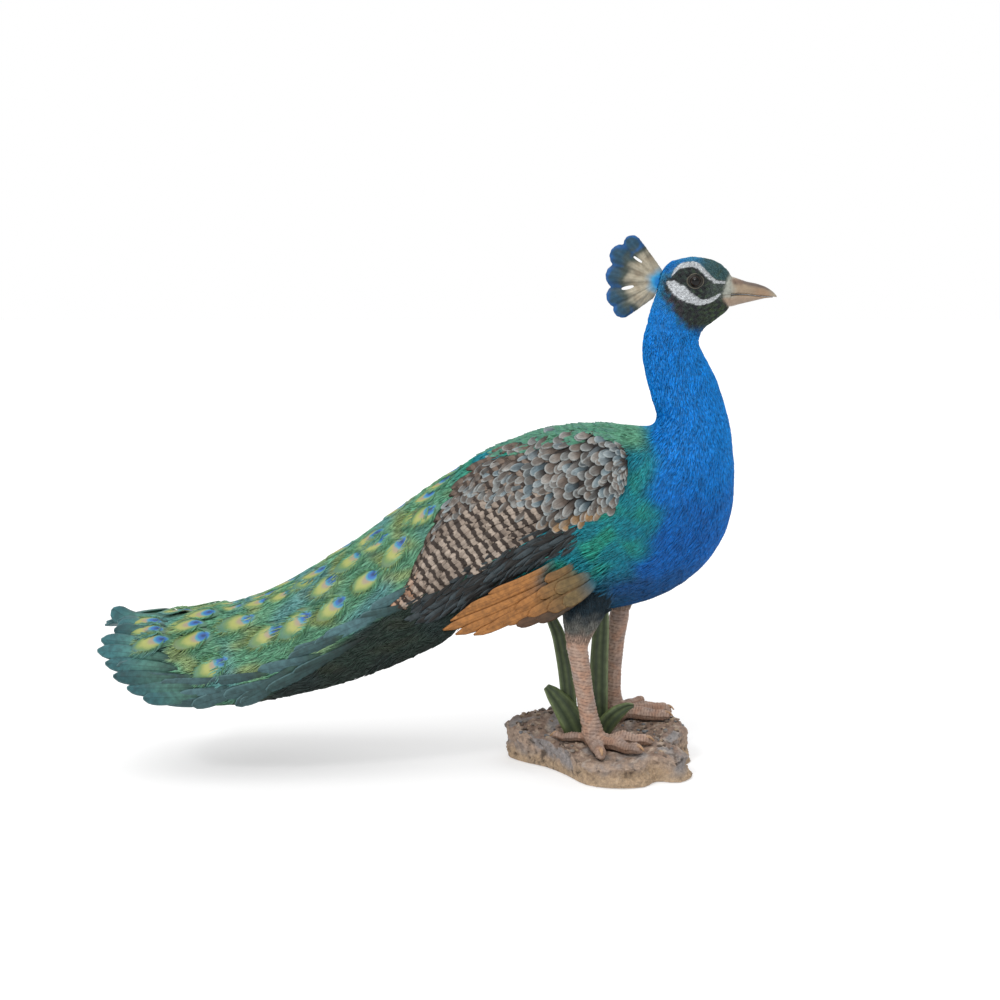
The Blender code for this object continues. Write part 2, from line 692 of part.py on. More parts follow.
def main():
    clear_scene()

    head = body_part("head", HEAD, NECK[0], "teal", HEAD_SIDES, RINGS_PER_SPAN)
    body_part("neck", NECK, TRUNK[0], "blue", NECK_SIDES, RINGS_PER_SPAN + 1)
    trunk = body_part("trunk", TRUNK[:-1], TRUNK[-1], "blue", TRUNK_SIDES, TRUNK_RINGS_PER_SPAN)
    make_bill()
    crest = make_crest()
    carve(crest, head)
    for name, side in (("right", RIGHT), ("left", LEFT)):
        eye = make_eye(f"eye_{name}", side)
        carve(head, eye)

    train_root = train_part("train_root", TRAIN_ROOT, TRAIN_MIDDLE[0], 1)
    train_middle = train_part("train_middle", TRAIN_MIDDLE, TRAIN_END[0], 2)
    train_end = train_part("train_end", TRAIN_END, None, 1)
    make_fringe(train_end)
    tail = make_tail()
    carve(tail, train_root, train_middle)

    body = solid_tree(trunk, train_root, train_middle)
    rock = make_rock()
    for name, side in (("right", RIGHT), ("left", LEFT)):
        wing = shell_on(f"wing_{name}", body, WING_EDGES, side, WING_THICKNESS, "barred", 2, 4)
        carve(wing, trunk, train_root, train_middle)
        secondaries = shell_on(f"secondaries_{name}", body, SECONDARY_EDGES, side, SECONDARY_THICKNESS,
                               "dark", 1, 3)
        carve(secondaries, trunk, train_root, train_middle, wing)
        primaries = make_primaries(f"primaries_{name}", side)
        carve(primaries, trunk, train_root, train_middle, wing, secondaries)

        leg = LEGS[name]
        thigh = make_limb(f"thigh_{name}", leg["thigh"], "teal", 12, 2)
        carve(thigh, trunk, primaries)
        make_limb(f"shank_{name}", leg["shank"], "flesh", 12, 1)
        make_foot(f"foot_{name}", leg, rock)

    for name, (rows, facing) in LEAVES.items():
        leaf = make_leaf(name, rows, facing)
        carve(leaf, rock, trunk)


main()
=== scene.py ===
"""Looks of a painted resin peacock statue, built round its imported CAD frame.

Lengths in this file are millimetres unless a name says otherwise, and become metres in mesh_object().
The bird faces +X, its left side is +Y and +Z is up, as in the frame.
"""

import json
import math

import bmesh
import bpy
import numpy as np
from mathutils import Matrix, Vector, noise
from mathutils.bvhtree import BVHTree

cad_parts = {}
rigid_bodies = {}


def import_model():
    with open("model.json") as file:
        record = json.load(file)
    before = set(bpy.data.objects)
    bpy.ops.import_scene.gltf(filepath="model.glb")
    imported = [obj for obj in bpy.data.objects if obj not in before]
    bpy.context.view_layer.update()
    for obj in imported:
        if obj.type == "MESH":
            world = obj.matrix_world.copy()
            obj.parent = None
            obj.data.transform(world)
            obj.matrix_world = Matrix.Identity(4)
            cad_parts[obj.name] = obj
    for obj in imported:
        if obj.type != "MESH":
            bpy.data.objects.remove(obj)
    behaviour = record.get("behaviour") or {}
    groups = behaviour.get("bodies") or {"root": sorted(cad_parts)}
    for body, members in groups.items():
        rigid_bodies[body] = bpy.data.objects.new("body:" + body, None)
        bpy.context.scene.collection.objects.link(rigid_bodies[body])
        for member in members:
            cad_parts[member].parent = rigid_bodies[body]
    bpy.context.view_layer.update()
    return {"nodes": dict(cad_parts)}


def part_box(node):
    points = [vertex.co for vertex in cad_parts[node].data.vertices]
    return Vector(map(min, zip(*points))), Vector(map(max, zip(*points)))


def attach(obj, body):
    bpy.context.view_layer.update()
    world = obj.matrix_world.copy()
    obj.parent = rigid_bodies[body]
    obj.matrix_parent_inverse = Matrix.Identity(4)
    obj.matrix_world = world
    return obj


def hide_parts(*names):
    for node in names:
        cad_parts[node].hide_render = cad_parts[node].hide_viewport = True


MM = 0.001
RIGHT, LEFT = -1, 1
SIDES = {RIGHT: "right", LEFT: "left"}
RNG = np.random.default_rng(11)

# The remeshed shells: how fine they are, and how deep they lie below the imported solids.
BODY_VOXEL, HEAD_VOXEL, LEG_VOXEL, CREST_VOXEL, ROCK_VOXEL = 3.0, 1.1, 1.2, 0.9, 1.8
BODY_INSET, HEAD_INSET, LEG_INSET, CREST_INSET, ROCK_INSET = 2.0, 0.8, 0.3, 0.0, 0.8
# How far the solids first swell, so that the gaps between them close.
CLOSE_GAPS, CREST_GAPS = 0.9, 0.05
# Where the shells end: the body at this x, the head and the legs at these heights.
BODY_END, HEAD_END, LEGS_END = -576, 508, 208

FEATHERED = [
    "head", "neck", "trunk", "thigh_right", "thigh_left", "wing_right", "wing_left", "secondaries_right",
    "secondaries_left", "train_root", "train_middle", "train_end",
]
LEGS = ["shank_right", "shank_left", "foot_right", "foot_left"]
THIGHS = ["thigh_right", "thigh_left"]

# The paints, in sRGB hexadecimal.
PALETTE = {
    "azure": "077fd0", "royal": "0862b2", "teal": "127a96", "green": "2b957c", "deep_green": "1f6450",
    # The navy of the belly is painted shade under the body, not a paint of its own.
    "mantle": "5b9579", "belly_painted_shade": "163a58", "olive": "92a069", "train_green": "639a7b",
    # under is the near black of the train's painted shade, low on its sides and on its hollow underside.
    "train_teal": "5b8f97", "tip_teal": "356469", "under": "161f1c", "tail": "2c2b26",
    "eye_yellow": "8f9d58", "eye_green": "5a8a58",
    "edge_dark": "263d3b", "edge_pale": "54797f", "edge_rim": "6a8f93",
    "thigh_top": "122833", "thigh_grey": "6c6c67", "flesh": "a58c7d", "flesh_orange": "a57f69",
    "flesh_grey": "8e7f78", "flesh_dark": "6f5a4c", "claw": "a5825f",
    "crown": "3586b3", "forehead": "3f6165", "mask": "282b2e", "mask_green": "3a4843",
    "mask_olive": "4b5d3d", "mask_plum": "4d404a", "mask_pale": "58635f", "white": "d6dadd",
    "white_shade": "979a9f", "iris": "2a1d14", "pupil": "030303", "lid": "2b2824", "lid_rim": "5f5b4e",
    "cere": "9a9c92", "bill": "978570", "bill_warm": "93775f", "bill_low": "9a8673",
    "bill_tip": "a29a88", "bill_shadow": "5c4f45", "culmen": "645851", "nostril": "745f52",
    "crest_root": "3391bd", "crest_beige": "a39b88", "crest_brown": "8a7c67", "crest_grey": "3f4a46",
    "crest_blue": "22455a", "crest_rim": "1c558f",
    "wing_dark": "2c2724", "wing_brown": "6b5c51", "wing_rim": "b3bbbb", "wing_bar": "2a201b",
    "wing_blue": "567684", "wing_ochre": "9a7444", "wing_beige": "b3a496", "wing_tan": "b0764a",
    "secondary": "23211f", "secondary_rim": "4c5c63",
    "orange": "a9733f", "orange_deep": "7c4d28", "orange_olive": "72603f", "orange_dark": "41352e",
    "rock_side": "9f8a79", "rock_grey": "87817f", "rock_tan": "a68e72", "rock_earth": "80695a",
    "rock_wash": "8b8b8c", "rock_pale": "b8a694", "rock_dark": "3d342d",
    "leaf": "343f2e", "leaf_edge": "768556",
}
PEBBLE_PAINTS = ["7d746c", "8b7867", "5c5047", "9c8872", "6f7174"]


# ---------------------------------------------------------------- numbers
def linear(code):
    """Linear RGB of a colour given in sRGB hexadecimal."""
    c = np.array([int(code[i : i + 2], 16) for i in (0, 2, 4)]) / 255
    return np.where(c <= 0.04045, c / 12.92, ((c + 0.055) / 1.055) ** 2.4)


COLOUR = {name: linear(code) for name, code in PALETTE.items()}


def ease(low, high, x):
    """A smooth step from 0 at low to 1 at high."""
    t = np.clip((np.asarray(x, float) - low) / (high - low), 0, 1)
    return t * t * (3 - 2 * t)


def mix(a, b, share):
    """From a to b by a share. Each is an array of colours or the name of one in the palette."""
    a, b = (COLOUR[c] if isinstance(c, str) else c for c in (a, b))
    return a + (b - a) * np.asarray(share)[..., None]


def layered(colour, *coats):
    """Paints laid over a colour one after another: each is a paint and the share that it covers."""
    for paint, share in coats:
        colour = mix(colour, paint, share)
    return colour


def unit(v):
    return v / np.maximum(np.linalg.norm(v, axis=-1, keepdims=True), 1e-9)


def wobble(p, size, phase=0.0):
    """A cheap smooth pattern between -1 and 1 over points, with features about size across."""
    x, y, z = (p / size * 2.2).T
    first = np.sin(1.3 * x + phase + 1.1 * np.sin(0.9 * z + 0.7 * y + phase))
    second = np.sin(1.7 * z - 1.2 * y + 2.1 * phase + 1.2 * np.sin(1.2 * x - 0.5 * y))
    return 0.5 * (first + second)


def line_distance(points, line):
    """How far each x, z is from a line of (x, z, half width), as a share of the half width there."""
    best = np.full(len(points), 1e9)
    for (ax, az, aw), (bx, bz, bw) in zip(line, line[1:]):
        start, step = np.array([ax, az]), np.array([bx - ax, bz - az])
        t = np.clip(((points - start) @ step) / (step @ step), 0, 1)
        away = np.linalg.norm(points - start - t[:, None] * step, axis=1)
        best = np.minimum(best, away / (aw + (bw - aw) * t))
    return best


# ---------------------------------------------------------------- meshes
def mesh_object(name, verts, tris, material, paint=None, fields=(), bake_uv=None):
    """A smooth mesh from arrays: paint is linear RGB, fields are (name, type, values), all on the points."""
    if paint is not None:
        paint = np.concatenate([paint, np.ones((len(paint), 1))], axis=1)
        fields = [("paint", "FLOAT_COLOR", paint), *fields]
    tris = np.asarray(tris, np.int32)
    mesh = bpy.data.meshes.new(name)
    mesh.vertices.add(len(verts))
    mesh.vertices.foreach_set("co", (np.asarray(verts) * MM).astype(np.float32).ravel())
    mesh.loops.add(tris.size)
    mesh.loops.foreach_set("vertex_index", tris.ravel())
    mesh.polygons.add(len(tris))
    mesh.polygons.foreach_set("loop_start", np.arange(0, tris.size, 3, dtype=np.int32))
    mesh.update(calc_edges=True)
    for field, kind, values in fields:
        made = mesh.attributes.new(field, kind, "POINT")
        key = {"FLOAT_COLOR": "color", "FLOAT_VECTOR": "vector"}[kind]
        made.data.foreach_set(key, np.asarray(values, np.float32).ravel())
    if bake_uv is not None:
        layer = mesh.uv_layers.new(name="OFBake")
        layer.uv.foreach_set("vector", bake_uv[tris.ravel()].astype(np.float32).ravel())
    mesh.materials.append(material)
    mesh.shade_smooth()
    obj = bpy.data.objects.new(name, mesh)
    bpy.context.scene.collection.objects.link(obj)
    return obj


def piece(obj, slot, *replaced):
    """Every piece rides on the one body, root."""
    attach(obj, "root")
    if replaced:
        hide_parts(*replaced)
    return obj


def arrays_of(obj):
    """(points in mm, triangles, point normals) of an object with its modifiers applied."""
    graph = bpy.context.evaluated_depsgraph_get()
    evaluated = obj.evaluated_get(graph)
    mesh = evaluated.to_mesh()
    mesh.calc_loop_triangles()
    verts = np.empty(len(mesh.vertices) * 3, np.float32)
    normals = np.empty(len(mesh.vertices) * 3, np.float32)
    tris = np.empty(len(mesh.loop_triangles) * 3, np.int32)
    mesh.vertices.foreach_get("co", verts)
    mesh.vertices.foreach_get("normal", normals)
    mesh.loop_triangles.foreach_get("vertices", tris)
    evaluated.to_mesh_clear()
    return verts.reshape(-1, 3).astype(float) / MM, tris.reshape(-1, 3), normals.reshape(-1, 3).astype(float)


def shell(nodes, voxel, inset, rounds, grow=CLOSE_GAPS, cut=None):
    """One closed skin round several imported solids: joined, remeshed, smoothed and drawn inwards.

    cut is a place in mm and a direction: what lies beyond that place, in that direction, is left out.
    """
    bm = bmesh.new()
    for name in nodes:
        bm.from_mesh(frame["nodes"][name].data)
    bmesh.ops.remove_doubles(bm, verts=bm.verts, dist=1e-5)
    if cut:
        everything = bm.verts[:] + bm.edges[:] + bm.faces[:]
        bmesh.ops.bisect_plane(bm, geom=everything, plane_co=[v * MM for v in cut[0]], plane_no=cut[1],
                               clear_outer=True)
        bmesh.ops.holes_fill(bm, edges=[edge for edge in bm.edges if edge.is_boundary])
    bm.normal_update()
    for vert in bm.verts:
        vert.co += vert.normal * grow * MM
    mesh = bpy.data.meshes.new("shell")
    bm.to_mesh(mesh)
    bm.free()
    obj = bpy.data.objects.new("shell", mesh)
    bpy.context.scene.collection.objects.link(obj)
    remesh = obj.modifiers.new("remesh", "REMESH")
    remesh.mode = "VOXEL"
    remesh.voxel_size = voxel * MM
    smoother = obj.modifiers.new("smooth", "SMOOTH")
    smoother.factor = 0.5
    smoother.iterations = rounds
    verts, tris, normals = arrays_of(obj)
    bpy.data.objects.remove(obj)
    return verts - normals * (inset + grow), tris


def relaxed(verts, tris, weight, rounds):
    """Points drawn towards the mean of their neighbours, each by its own weight."""
    a, b = tris.ravel(), np.roll(tris, -1, axis=1).ravel()
    count = np.bincount(a, minlength=len(verts)) + np.bincount(b, minlength=len(verts))
    for _ in range(rounds):
        total = np.stack([np.bincount(a, verts[b, i], len(verts)) + np.bincount(b, verts[a, i], len(verts))
                          for i in range(3)], 1)
        verts = verts + weight[:, None] * (total / count[:, None] - verts)
    return verts


def point_normals(verts, tris):
    """Area-weighted normals of the points of a mesh."""
    a, b, c = (verts[tris[:, i]] for i in range(3))
    flat = np.cross(b - a, c - a)
    total = np.zeros_like(verts)
    for i in range(3):
        np.add.at(total, tris[:, i], flat)
    return unit(total)


def outward(verts, tris):
    """The triangles of a closed mesh, turned so that they face out."""
    corner = verts[tris] - verts.mean(0)
    volume = np.einsum("ij,ij->i", corner[:, 0], np.cross(corner[:, 1], corner[:, 2])).sum()
    return tris[:, ::-1] if volume < 0 else tris


class Surface:
    """A triangle mesh that points and paths are laid on."""

    def __init__(self, verts, tris):
        self.verts, self.tris = verts, tris
        self.normals = point_normals(verts, tris)
        self.tree = BVHTree.FromPolygons(verts.tolist(), tris.tolist())
        a, b, c = (verts[tris[:, i]] for i in range(3))
        self.centres = (a + b + c) / 3
        cross = np.cross(b - a, c - a)
        self.areas = np.linalg.norm(cross, axis=1) / 2
        self.face_normals = unit(cross)

    def nearest(self, points):
        """The closest place on the surface to each point, with a smooth normal."""
        places, corners = [], []
        for p in points.tolist():
            place, _, index, _ = self.tree.find_nearest(p)
            places.append(place)
            corners.append(index)
        normals = self.normals[self.tris[corners]].mean(axis=1)
        return np.array(places), unit(normals)

    def lies_on(self, paths, most=3.0):
        """Which paths stay close to the surface all the way."""
        places = self.nearest(paths.reshape(-1, 3))[0].reshape(paths.shape)
        return np.linalg.norm(paths - places, axis=2).max(axis=1) < most

    def scatter(self, chosen, per_cm2):
        """Random places on the chosen faces, as many to the square centimetre as asked."""
        expected = self.areas * 0.01 * per_cm2 * chosen
        count = np.floor(expected + RNG.random(len(expected))).astype(int)
        faces = np.repeat(np.arange(len(count)), count)
        r, s = np.sqrt(RNG.random(len(faces))), RNG.random(len(faces))
        a, b, c = (self.verts[self.tris[faces, i]] for i in range(3))
        places = a * (1 - r)[:, None] + b * (r * (1 - s))[:, None] + c * (r * s)[:, None]
        return places, unit(self.normals[self.tris[faces]].mean(axis=1))

    def trace(self, places, normals, direction, lengths, rings):
        """Paths that start at the places and follow direction(points, normals) over the surface."""
        paths, ups = [places], [normals]
        for _ in range(rings - 1):
            heading = direction(paths[-1], ups[-1])
            heading -= ups[-1] * (heading * ups[-1]).sum(1, keepdims=True)
            target = paths[-1] + unit(heading) * (lengths / (rings - 1))[:, None]
            place, normal = self.nearest(target)
            paths.append(place)
            ups.append(normal)
        return np.stack(paths, 1), np.stack(ups, 1)

    def seen_from(self, side, xs, zs):
        """Where a ray from one side meets that side at each x, z. A miss keeps the last depth."""
        places, normals, last = [], [], None
        for x, z in zip(xs, zs):
            place, _, index, _ = self.tree.ray_cast((x, side * 400.0, z), (0.0, -float(side), 0.0))
            if place is None or side * place[1] < -5:
                depth = last if last is not None else 60.0
                places.append((x, side * depth, z))
                normals.append((0.0, float(side), 0.0))
                continue
            last = side * place[1]
            places.append(tuple(place))
            normals.append(self.normals[self.tris[index]].mean(axis=0))
        return np.array(places), unit(np.array(normals))


# Cross sections: across from -1 to 1, and height.
TUFT_SECTION = np.array([(-1, -0.35), (1, -0.35), (0, 1)])
VANE_SECTION = np.array([
    (-1, 0), (0, -0.35), (1, 0), (0.72, 0.42), (0.34, 0.72), (0, 1.12), (-0.34, 0.72), (-0.72, 0.42),
])


class Blades:
    """Many closed blades in one mesh, each lofted along its own path from root to tip."""

    def __init__(self):
        self.parts = []
        self.points = 0

    def add(self, paths, ups, half, thick, lifts, outline, colours, bake, section=VANE_SECTION, tilt=0.0,
            wrap=None, marks=0.0, taper=1.0):
        """paths, ups (n, k, 3) with their widths and heights in mm.

        half, thick, tilt, marks have one value for each blade; lifts, outline and taper one for each ring;
        colours is (n, k, 3), or (n, k, c, 3) with one for each corner of the section; bake is (n, k, c, 2).
        wrap is the radius that a broad blade bends round.
        """
        n, k, _ = paths.shape
        s, h = section.T
        half, thick = (np.broadcast_to(v, n).reshape(n, 1, 1) for v in (half, thick))
        outline = np.reshape(outline, (-1, k, 1))
        along = unit(np.gradient(paths, axis=1))
        side = unit(np.cross(along, ups))
        up = np.cross(side, along)
        wide = half * outline * s
        tall = thick * np.broadcast_to(taper, k)[:, None] * h
        tall = tall + np.reshape(lifts, (-1, k, 1)) + np.reshape(tilt, (-1, 1, 1)) * s
        if wrap:
            tall = tall - wide**2 / (2 * wrap)
        verts = paths[:, :, None] + side[:, :, None] * wide[..., None] + up[:, :, None] * tall[..., None]
        c = len(section)
        ring = np.arange(c)
        grid = np.arange(n * k * c).reshape(n, k, c)
        a, b = grid[:, :-1, ring], grid[:, :-1, (ring + 1) % c]
        d, e = grid[:, 1:, ring], grid[:, 1:, (ring + 1) % c]
        tris = [np.stack([a, b, e], -1).reshape(-1, 3), np.stack([a, e, d], -1).reshape(-1, 3)]
        for i in range(1, c - 1):
            root, tip = grid[:, 0], grid[:, -1]
            tris.append(np.stack([root[:, 0], root[:, i + 1], root[:, i]], -1))
            tris.append(np.stack([tip[:, 0], tip[:, i], tip[:, i + 1]], -1))
        verts = verts.reshape(-1, 3)
        tris = outward(verts, np.concatenate(tris))
        reach = np.linalg.norm(np.diff(paths, axis=1), axis=2).cumsum(1)
        reach = np.concatenate([np.zeros((n, 1)), reach], 1)
        share = np.linspace(0, 1, k)
        lie = np.empty((n, k, c, 3))
        lie[..., 0] = s
        lie[..., 1] = share[None, :, None]
        lie[..., 2] = RNG.random((n, 1, 1))
        mark = np.zeros((n, k, c, 3))
        mark[..., 0] = np.minimum((1 - abs(s)) * half * outline, (reach[:, -1:] - reach)[:, :, None] + 0.2)
        mark[..., 1] = np.reshape(marks, (-1, 1, 1))
        mark[..., 2] = reach[:, :, None]
        paint = np.broadcast_to(colours[:, :, None] if colours.ndim == 3 else colours, (n, k, c, 3))
        uv = np.broadcast_to(bake, (n, k, c, 2))
        self.parts.append((verts, tris + self.points, paint.reshape(-1, 3), lie.reshape(-1, 3),
                           mark.reshape(-1, 3), uv.reshape(-1, 2)))
        self.points += len(verts)

    def build(self, name, material):
        verts, tris, paint, lie, mark, uv = (np.concatenate(column) for column in zip(*self.parts))
        fields = [("lie", "FLOAT_VECTOR", lie), ("mark", "FLOAT_VECTOR", mark)]
        return mesh_object(name, verts, tris, material, np.clip(paint, 0, 1), fields, uv)


# ---------------------------------------------------------------- where the coat's patches lie
SPINE = [
    (165, 594), (112, 600), (86, 560), (90, 490), (115, 430), (112, 370), (60, 330), (0, 318), (-90, 312),
    (-150, 305), (-250, 225), (-350, 170), (-450, 145), (-640, 140),
]
PATCH = 0.003


def along_spine(p):
    """(length along the bird's spine, turn round it) of each point: an unwrap of the body's own shape."""
    flat = p[:, [0, 2]]
    best, place, offset = np.full(len(p), 1e9), np.zeros(len(p)), np.zeros(len(p))
    before = 0.0
    for a, b in zip(SPINE, SPINE[1:]):
        start, step = np.array(a, float), np.array(b, float) - a
        size = np.linalg.norm(step)
        t = np.clip(((flat - start) @ step) / size**2, 0, 1)
        gap = flat - start - t[:, None] * step
        away = np.linalg.norm(gap, axis=1)
        nearer = away < best
        best = np.where(nearer, away, best)
        place = np.where(nearer, before + t * size, place)
        offset = np.where(nearer, (step[0] * gap[:, 1] - step[1] * gap[:, 0]) / size, offset)
        before += size
    return place, np.arctan2(p[:, 1], offset)


def round_leg(p):
    """The same for the legs: height, and turn round the leg, with the two legs side by side."""
    turn = np.arctan2(np.abs(p[:, 1]) - 45, p[:, 0])
    return p[:, 2], turn + np.where(p[:, 1] < 0, -math.pi, math.pi)


def tuft_bake(roots, unwrap, rings, section):
    """One small patch for each tuft, at its root's place on the unwrap."""
    places = np.stack(unwrap(roots), 1)
    low, high = places.min(0), places.max(0)
    origin = 0.01 + 0.975 * (places - low) / np.maximum(high - low, 1e-6)
    across = (section[:, 0] + 1) / 2 * PATCH
    up = np.linspace(0, 1, rings) * PATCH
    patch = np.stack(np.broadcast_arrays(across[None, :], up[:, None]), -1)
    return origin[:, None, None, :] + patch[None]


def atlas_bake(first, count, total, rings, section):
    """One cell of a grid for each large feather."""
    columns = math.ceil(math.sqrt(total * 2.0))
    rows = math.ceil(total / columns)
    index = np.arange(first, first + count)
    origin = np.stack([index % columns / columns, index // columns / rows], 1)
    across = (0.06 + 0.88 * (section[:, 0] + 1) / 2) / columns
    up = (0.04 + 0.92 * np.linspace(0, 1, rings)) / rows
    cell = np.stack(np.broadcast_arrays(across[None, :], up[:, None]), -1)
    return origin[:, None, None, :] + cell[None]


# ---------------------------------------------------------------- node materials
class Shader:
    """A short way to write node trees."""

    def __init__(self, name):
        self.material = bpy.data.materials.new(name)
        self.material.use_nodes = True
        self.tree = self.material.node_tree
        self.surface = self.tree.nodes["Principled BSDF"]

    def node(self, kind, inputs=(), **settings):
        made = self.tree.nodes.new(kind)
        for key, value in settings.items():
            setattr(made, key, value)
        for key, value in dict(inputs).items():
            self.put(made.inputs[key], value)
        return made

    def put(self, socket, value):
        if isinstance(value, bpy.types.NodeSocket):
            self.tree.links.new(value, socket)
        elif isinstance(value, np.ndarray) or (isinstance(value, tuple) and len(value) == 3
                                               and socket.type == "RGBA"):
            socket.default_value = (*[float(v) for v in value], 1.0)
        else:
            socket.default_value = value

    def field(self, name):
        return self.node("ShaderNodeAttribute", attribute_name=name)

    def parts(self, vector):
        made = self.node("ShaderNodeSeparateXYZ", {"Vector": vector})
        return made.outputs["X"], made.outputs["Y"], made.outputs["Z"]

    def math(self, operation, a, b=0.0):
        return self.node("ShaderNodeMath", {0: a, 1: b}, operation=operation).outputs[0]

    def plus(self, a, b):
        return self.math("ADD", a, b)

    def times(self, a, b):
        return self.math("MULTIPLY", a, b)

    def ramp(self, value, low, high, at_low=0.0, at_high=1.0):
        made = self.node("ShaderNodeMapRange", {"Value": value, "From Min": low, "From Max": high,
                                                "To Min": at_low, "To Max": at_high},
                         interpolation_type="SMOOTHSTEP")
        return made.outputs["Result"]

    def mixed(self, share, a, b, blend="MIX"):
        made = self.node("ShaderNodeMix", data_type="RGBA", blend_type=blend)
        self.put(made.inputs["Factor"], share)
        self.put(made.inputs["A"], a)
        self.put(made.inputs["B"], b)
        return made.outputs["Result"]

    def shaded_paint(self, shade):
        """The mesh's own paint, made lighter or darker."""
        grey = self.node("ShaderNodeCombineColor", {0: shade, 1: shade, 2: shade}).outputs[0]
        return self.mixed(1.0, self.field("paint").outputs["Color"], grey, "MULTIPLY")

    def here(self):
        return self.node("ShaderNodeTexCoord").outputs["Object"]

    def noise(self, vector, scale, detail=3.0, rough=0.55):
        return self.node("ShaderNodeTexNoise", {"Vector": vector, "Scale": scale, "Detail": detail,
                                                "Roughness": rough}).outputs["Fac"]

    def finish(self, colour, roughness, height=None, strength=0.3, depth=0.0004):
        self.put(self.surface.inputs["Base Color"], colour)
        self.put(self.surface.inputs["Roughness"], roughness)
        if height is not None:
            bump = self.node("ShaderNodeBump", {"Strength": strength, "Distance": depth, "Height": height})
            self.put(self.surface.inputs["Normal"], bump.outputs["Normal"])
        return self.material


def painted(name, rough=(0.38, 0.6), speckle=260.0, vary=(0.82, 1.18), grain=900.0, strength=0.25):
    """Painted resin: the colour in the mesh, broken up by brush noise, with a fine grain in the gloss."""
    sh = Shader(name)
    place = sh.here()
    brush = sh.noise(place, speckle, 4.0)
    colour = sh.shaded_paint(sh.ramp(brush, 0.3, 0.7, *vary))
    fine = sh.noise(place, grain, 2.0)
    sh.surface.inputs["Specular IOR Level"].default_value = 0.3
    return sh.finish(colour, sh.ramp(fine, 0.3, 0.7, *rough), fine, strength, 0.0003)


BAR_PERIOD = 11.5
# Kinds of large feather: paints of the rim and the bars, width and share of the rim, shade at the root.
VANES = {
    "wing_vanes": ("wing_rim", "wing_bar", 3.0, 0.62, 0.2),
    "barred_vanes": ("wing_bar", "wing_bar", 0.9, 0.4, 0.6),
    "dark_vanes": ("secondary_rim", "wing_bar", 1.4, 0.55, 0.4),
    "orange_vanes": ("orange_deep", "orange_deep", 0.9, 0.55, 0.85),
    "teal_vanes": ("edge_rim", "under", 2.2, 0.55, 0.35),
}


def vane_material(name, rim_paint, bar_paint, rim_width, rim_share, root_shade):
    """A carved feather: shaft, slanting barbs, a pale rim, and dark bars where the mark asks for them."""
    sh = Shader(name)
    across, along_share, chance = sh.parts(sh.field("lie").outputs["Vector"])
    rim, bars, reach = sh.parts(sh.field("mark").outputs["Vector"])
    place = sh.here()
    cloud = sh.noise(place, 160.0, 4.0)
    out = sh.math("ABSOLUTE", across)
    wavy = sh.plus(sh.times(cloud, 0.75), sh.times(chance, 0.36))
    spot_x, _, spot_z = sh.parts(place)
    down_wing = sh.plus(sh.times(spot_x, -0.8), sh.times(spot_z, -0.6))
    phase = sh.plus(sh.math("DIVIDE", down_wing, BAR_PERIOD * MM), wavy)
    wave = sh.math("SINE", sh.times(phase, 2 * math.pi))
    bar = sh.times(sh.ramp(wave, -0.25, 0.5), bars)
    barb_phase = sh.math("SUBTRACT", reach, sh.times(out, 4.5))
    barb = sh.math("SINE", sh.times(barb_phase, 2 * math.pi / 1.15))
    # Random cloud, then painted shade: darker in the barbs' grooves and lighter on them, over their own
    # bump, and darker at the root where the feather above overlaps. Last comes a dark shaft.
    shade = sh.ramp(cloud, 0.3, 0.7, 0.72, 1.2)
    shade = sh.times(shade, sh.ramp(barb, -1.0, 1.0, 0.86, 1.1))
    shade = sh.times(shade, sh.ramp(along_share, 0.0, 0.6, root_shade, 1.0))
    shade = sh.times(shade, sh.ramp(out, 0.0, 0.09, 0.7, 1.0))
    barred = sh.mixed(bar, sh.shaded_paint(shade), COLOUR[bar_paint])
    edge = sh.ramp(rim, 0.15, rim_width, rim_share, 0.0)
    edge = sh.times(edge, sh.ramp(along_share, 0.35, 0.75))
    edge = sh.times(edge, sh.ramp(cloud, 0.3, 0.6, 0.5, 1.0))
    colour = sh.mixed(edge, barred, COLOUR[rim_paint])
    height = sh.plus(barb, sh.times(cloud, 1.5))
    sh.surface.inputs["Specular IOR Level"].default_value = 0.3
    return sh.finish(colour, sh.ramp(cloud, 0.3, 0.7, 0.42, 0.6), height, 0.35, 0.0004)


def ocellus_material():
    """The train's eye feathers: blue spot on the body's side, tan patch, yellow ring, green barbs."""
    sh = Shader("train_eyes")
    across, _, _ = sh.parts(sh.field("lie").outputs["Vector"])
    _, _, reach = sh.parts(sh.field("mark").outputs["Vector"])
    place = sh.here()
    cloud = sh.noise(place, 220.0, 3.0)
    out = sh.times(across, OCELLUS_HALF)
    barb_phase = sh.math("SUBTRACT", reach, sh.times(sh.math("ABSOLUTE", across), 9.0))
    barb = sh.math("SINE", sh.times(barb_phase, 2 * math.pi / 1.6))
    frayed = sh.plus(sh.times(barb, 0.03), sh.times(cloud, 0.35))
    # Painted shade: the paint darker in the barbs' grooves and lighter on them, over their own bump.
    colour = sh.shaded_paint(sh.ramp(barb, -1.0, 1.0, 0.78, 1.12))
    for centre, wide, tall, low, high, code in OCELLUS_RINGS:
        x = sh.math("DIVIDE", out, wide)
        y = sh.math("DIVIDE", sh.math("SUBTRACT", reach, centre), tall)
        away = sh.math("SQRT", sh.plus(sh.times(x, x), sh.times(y, y)))
        away = sh.plus(away, sh.math("SUBTRACT", frayed, 0.17))
        colour = sh.mixed(sh.ramp(away, low, high, 1.0, 0.0), colour, linear(code))
    height = sh.plus(barb, cloud)
    return sh.finish(colour, sh.ramp(cloud, 0.3, 0.7, 0.38, 0.55), height, 0.3, 0.0004)


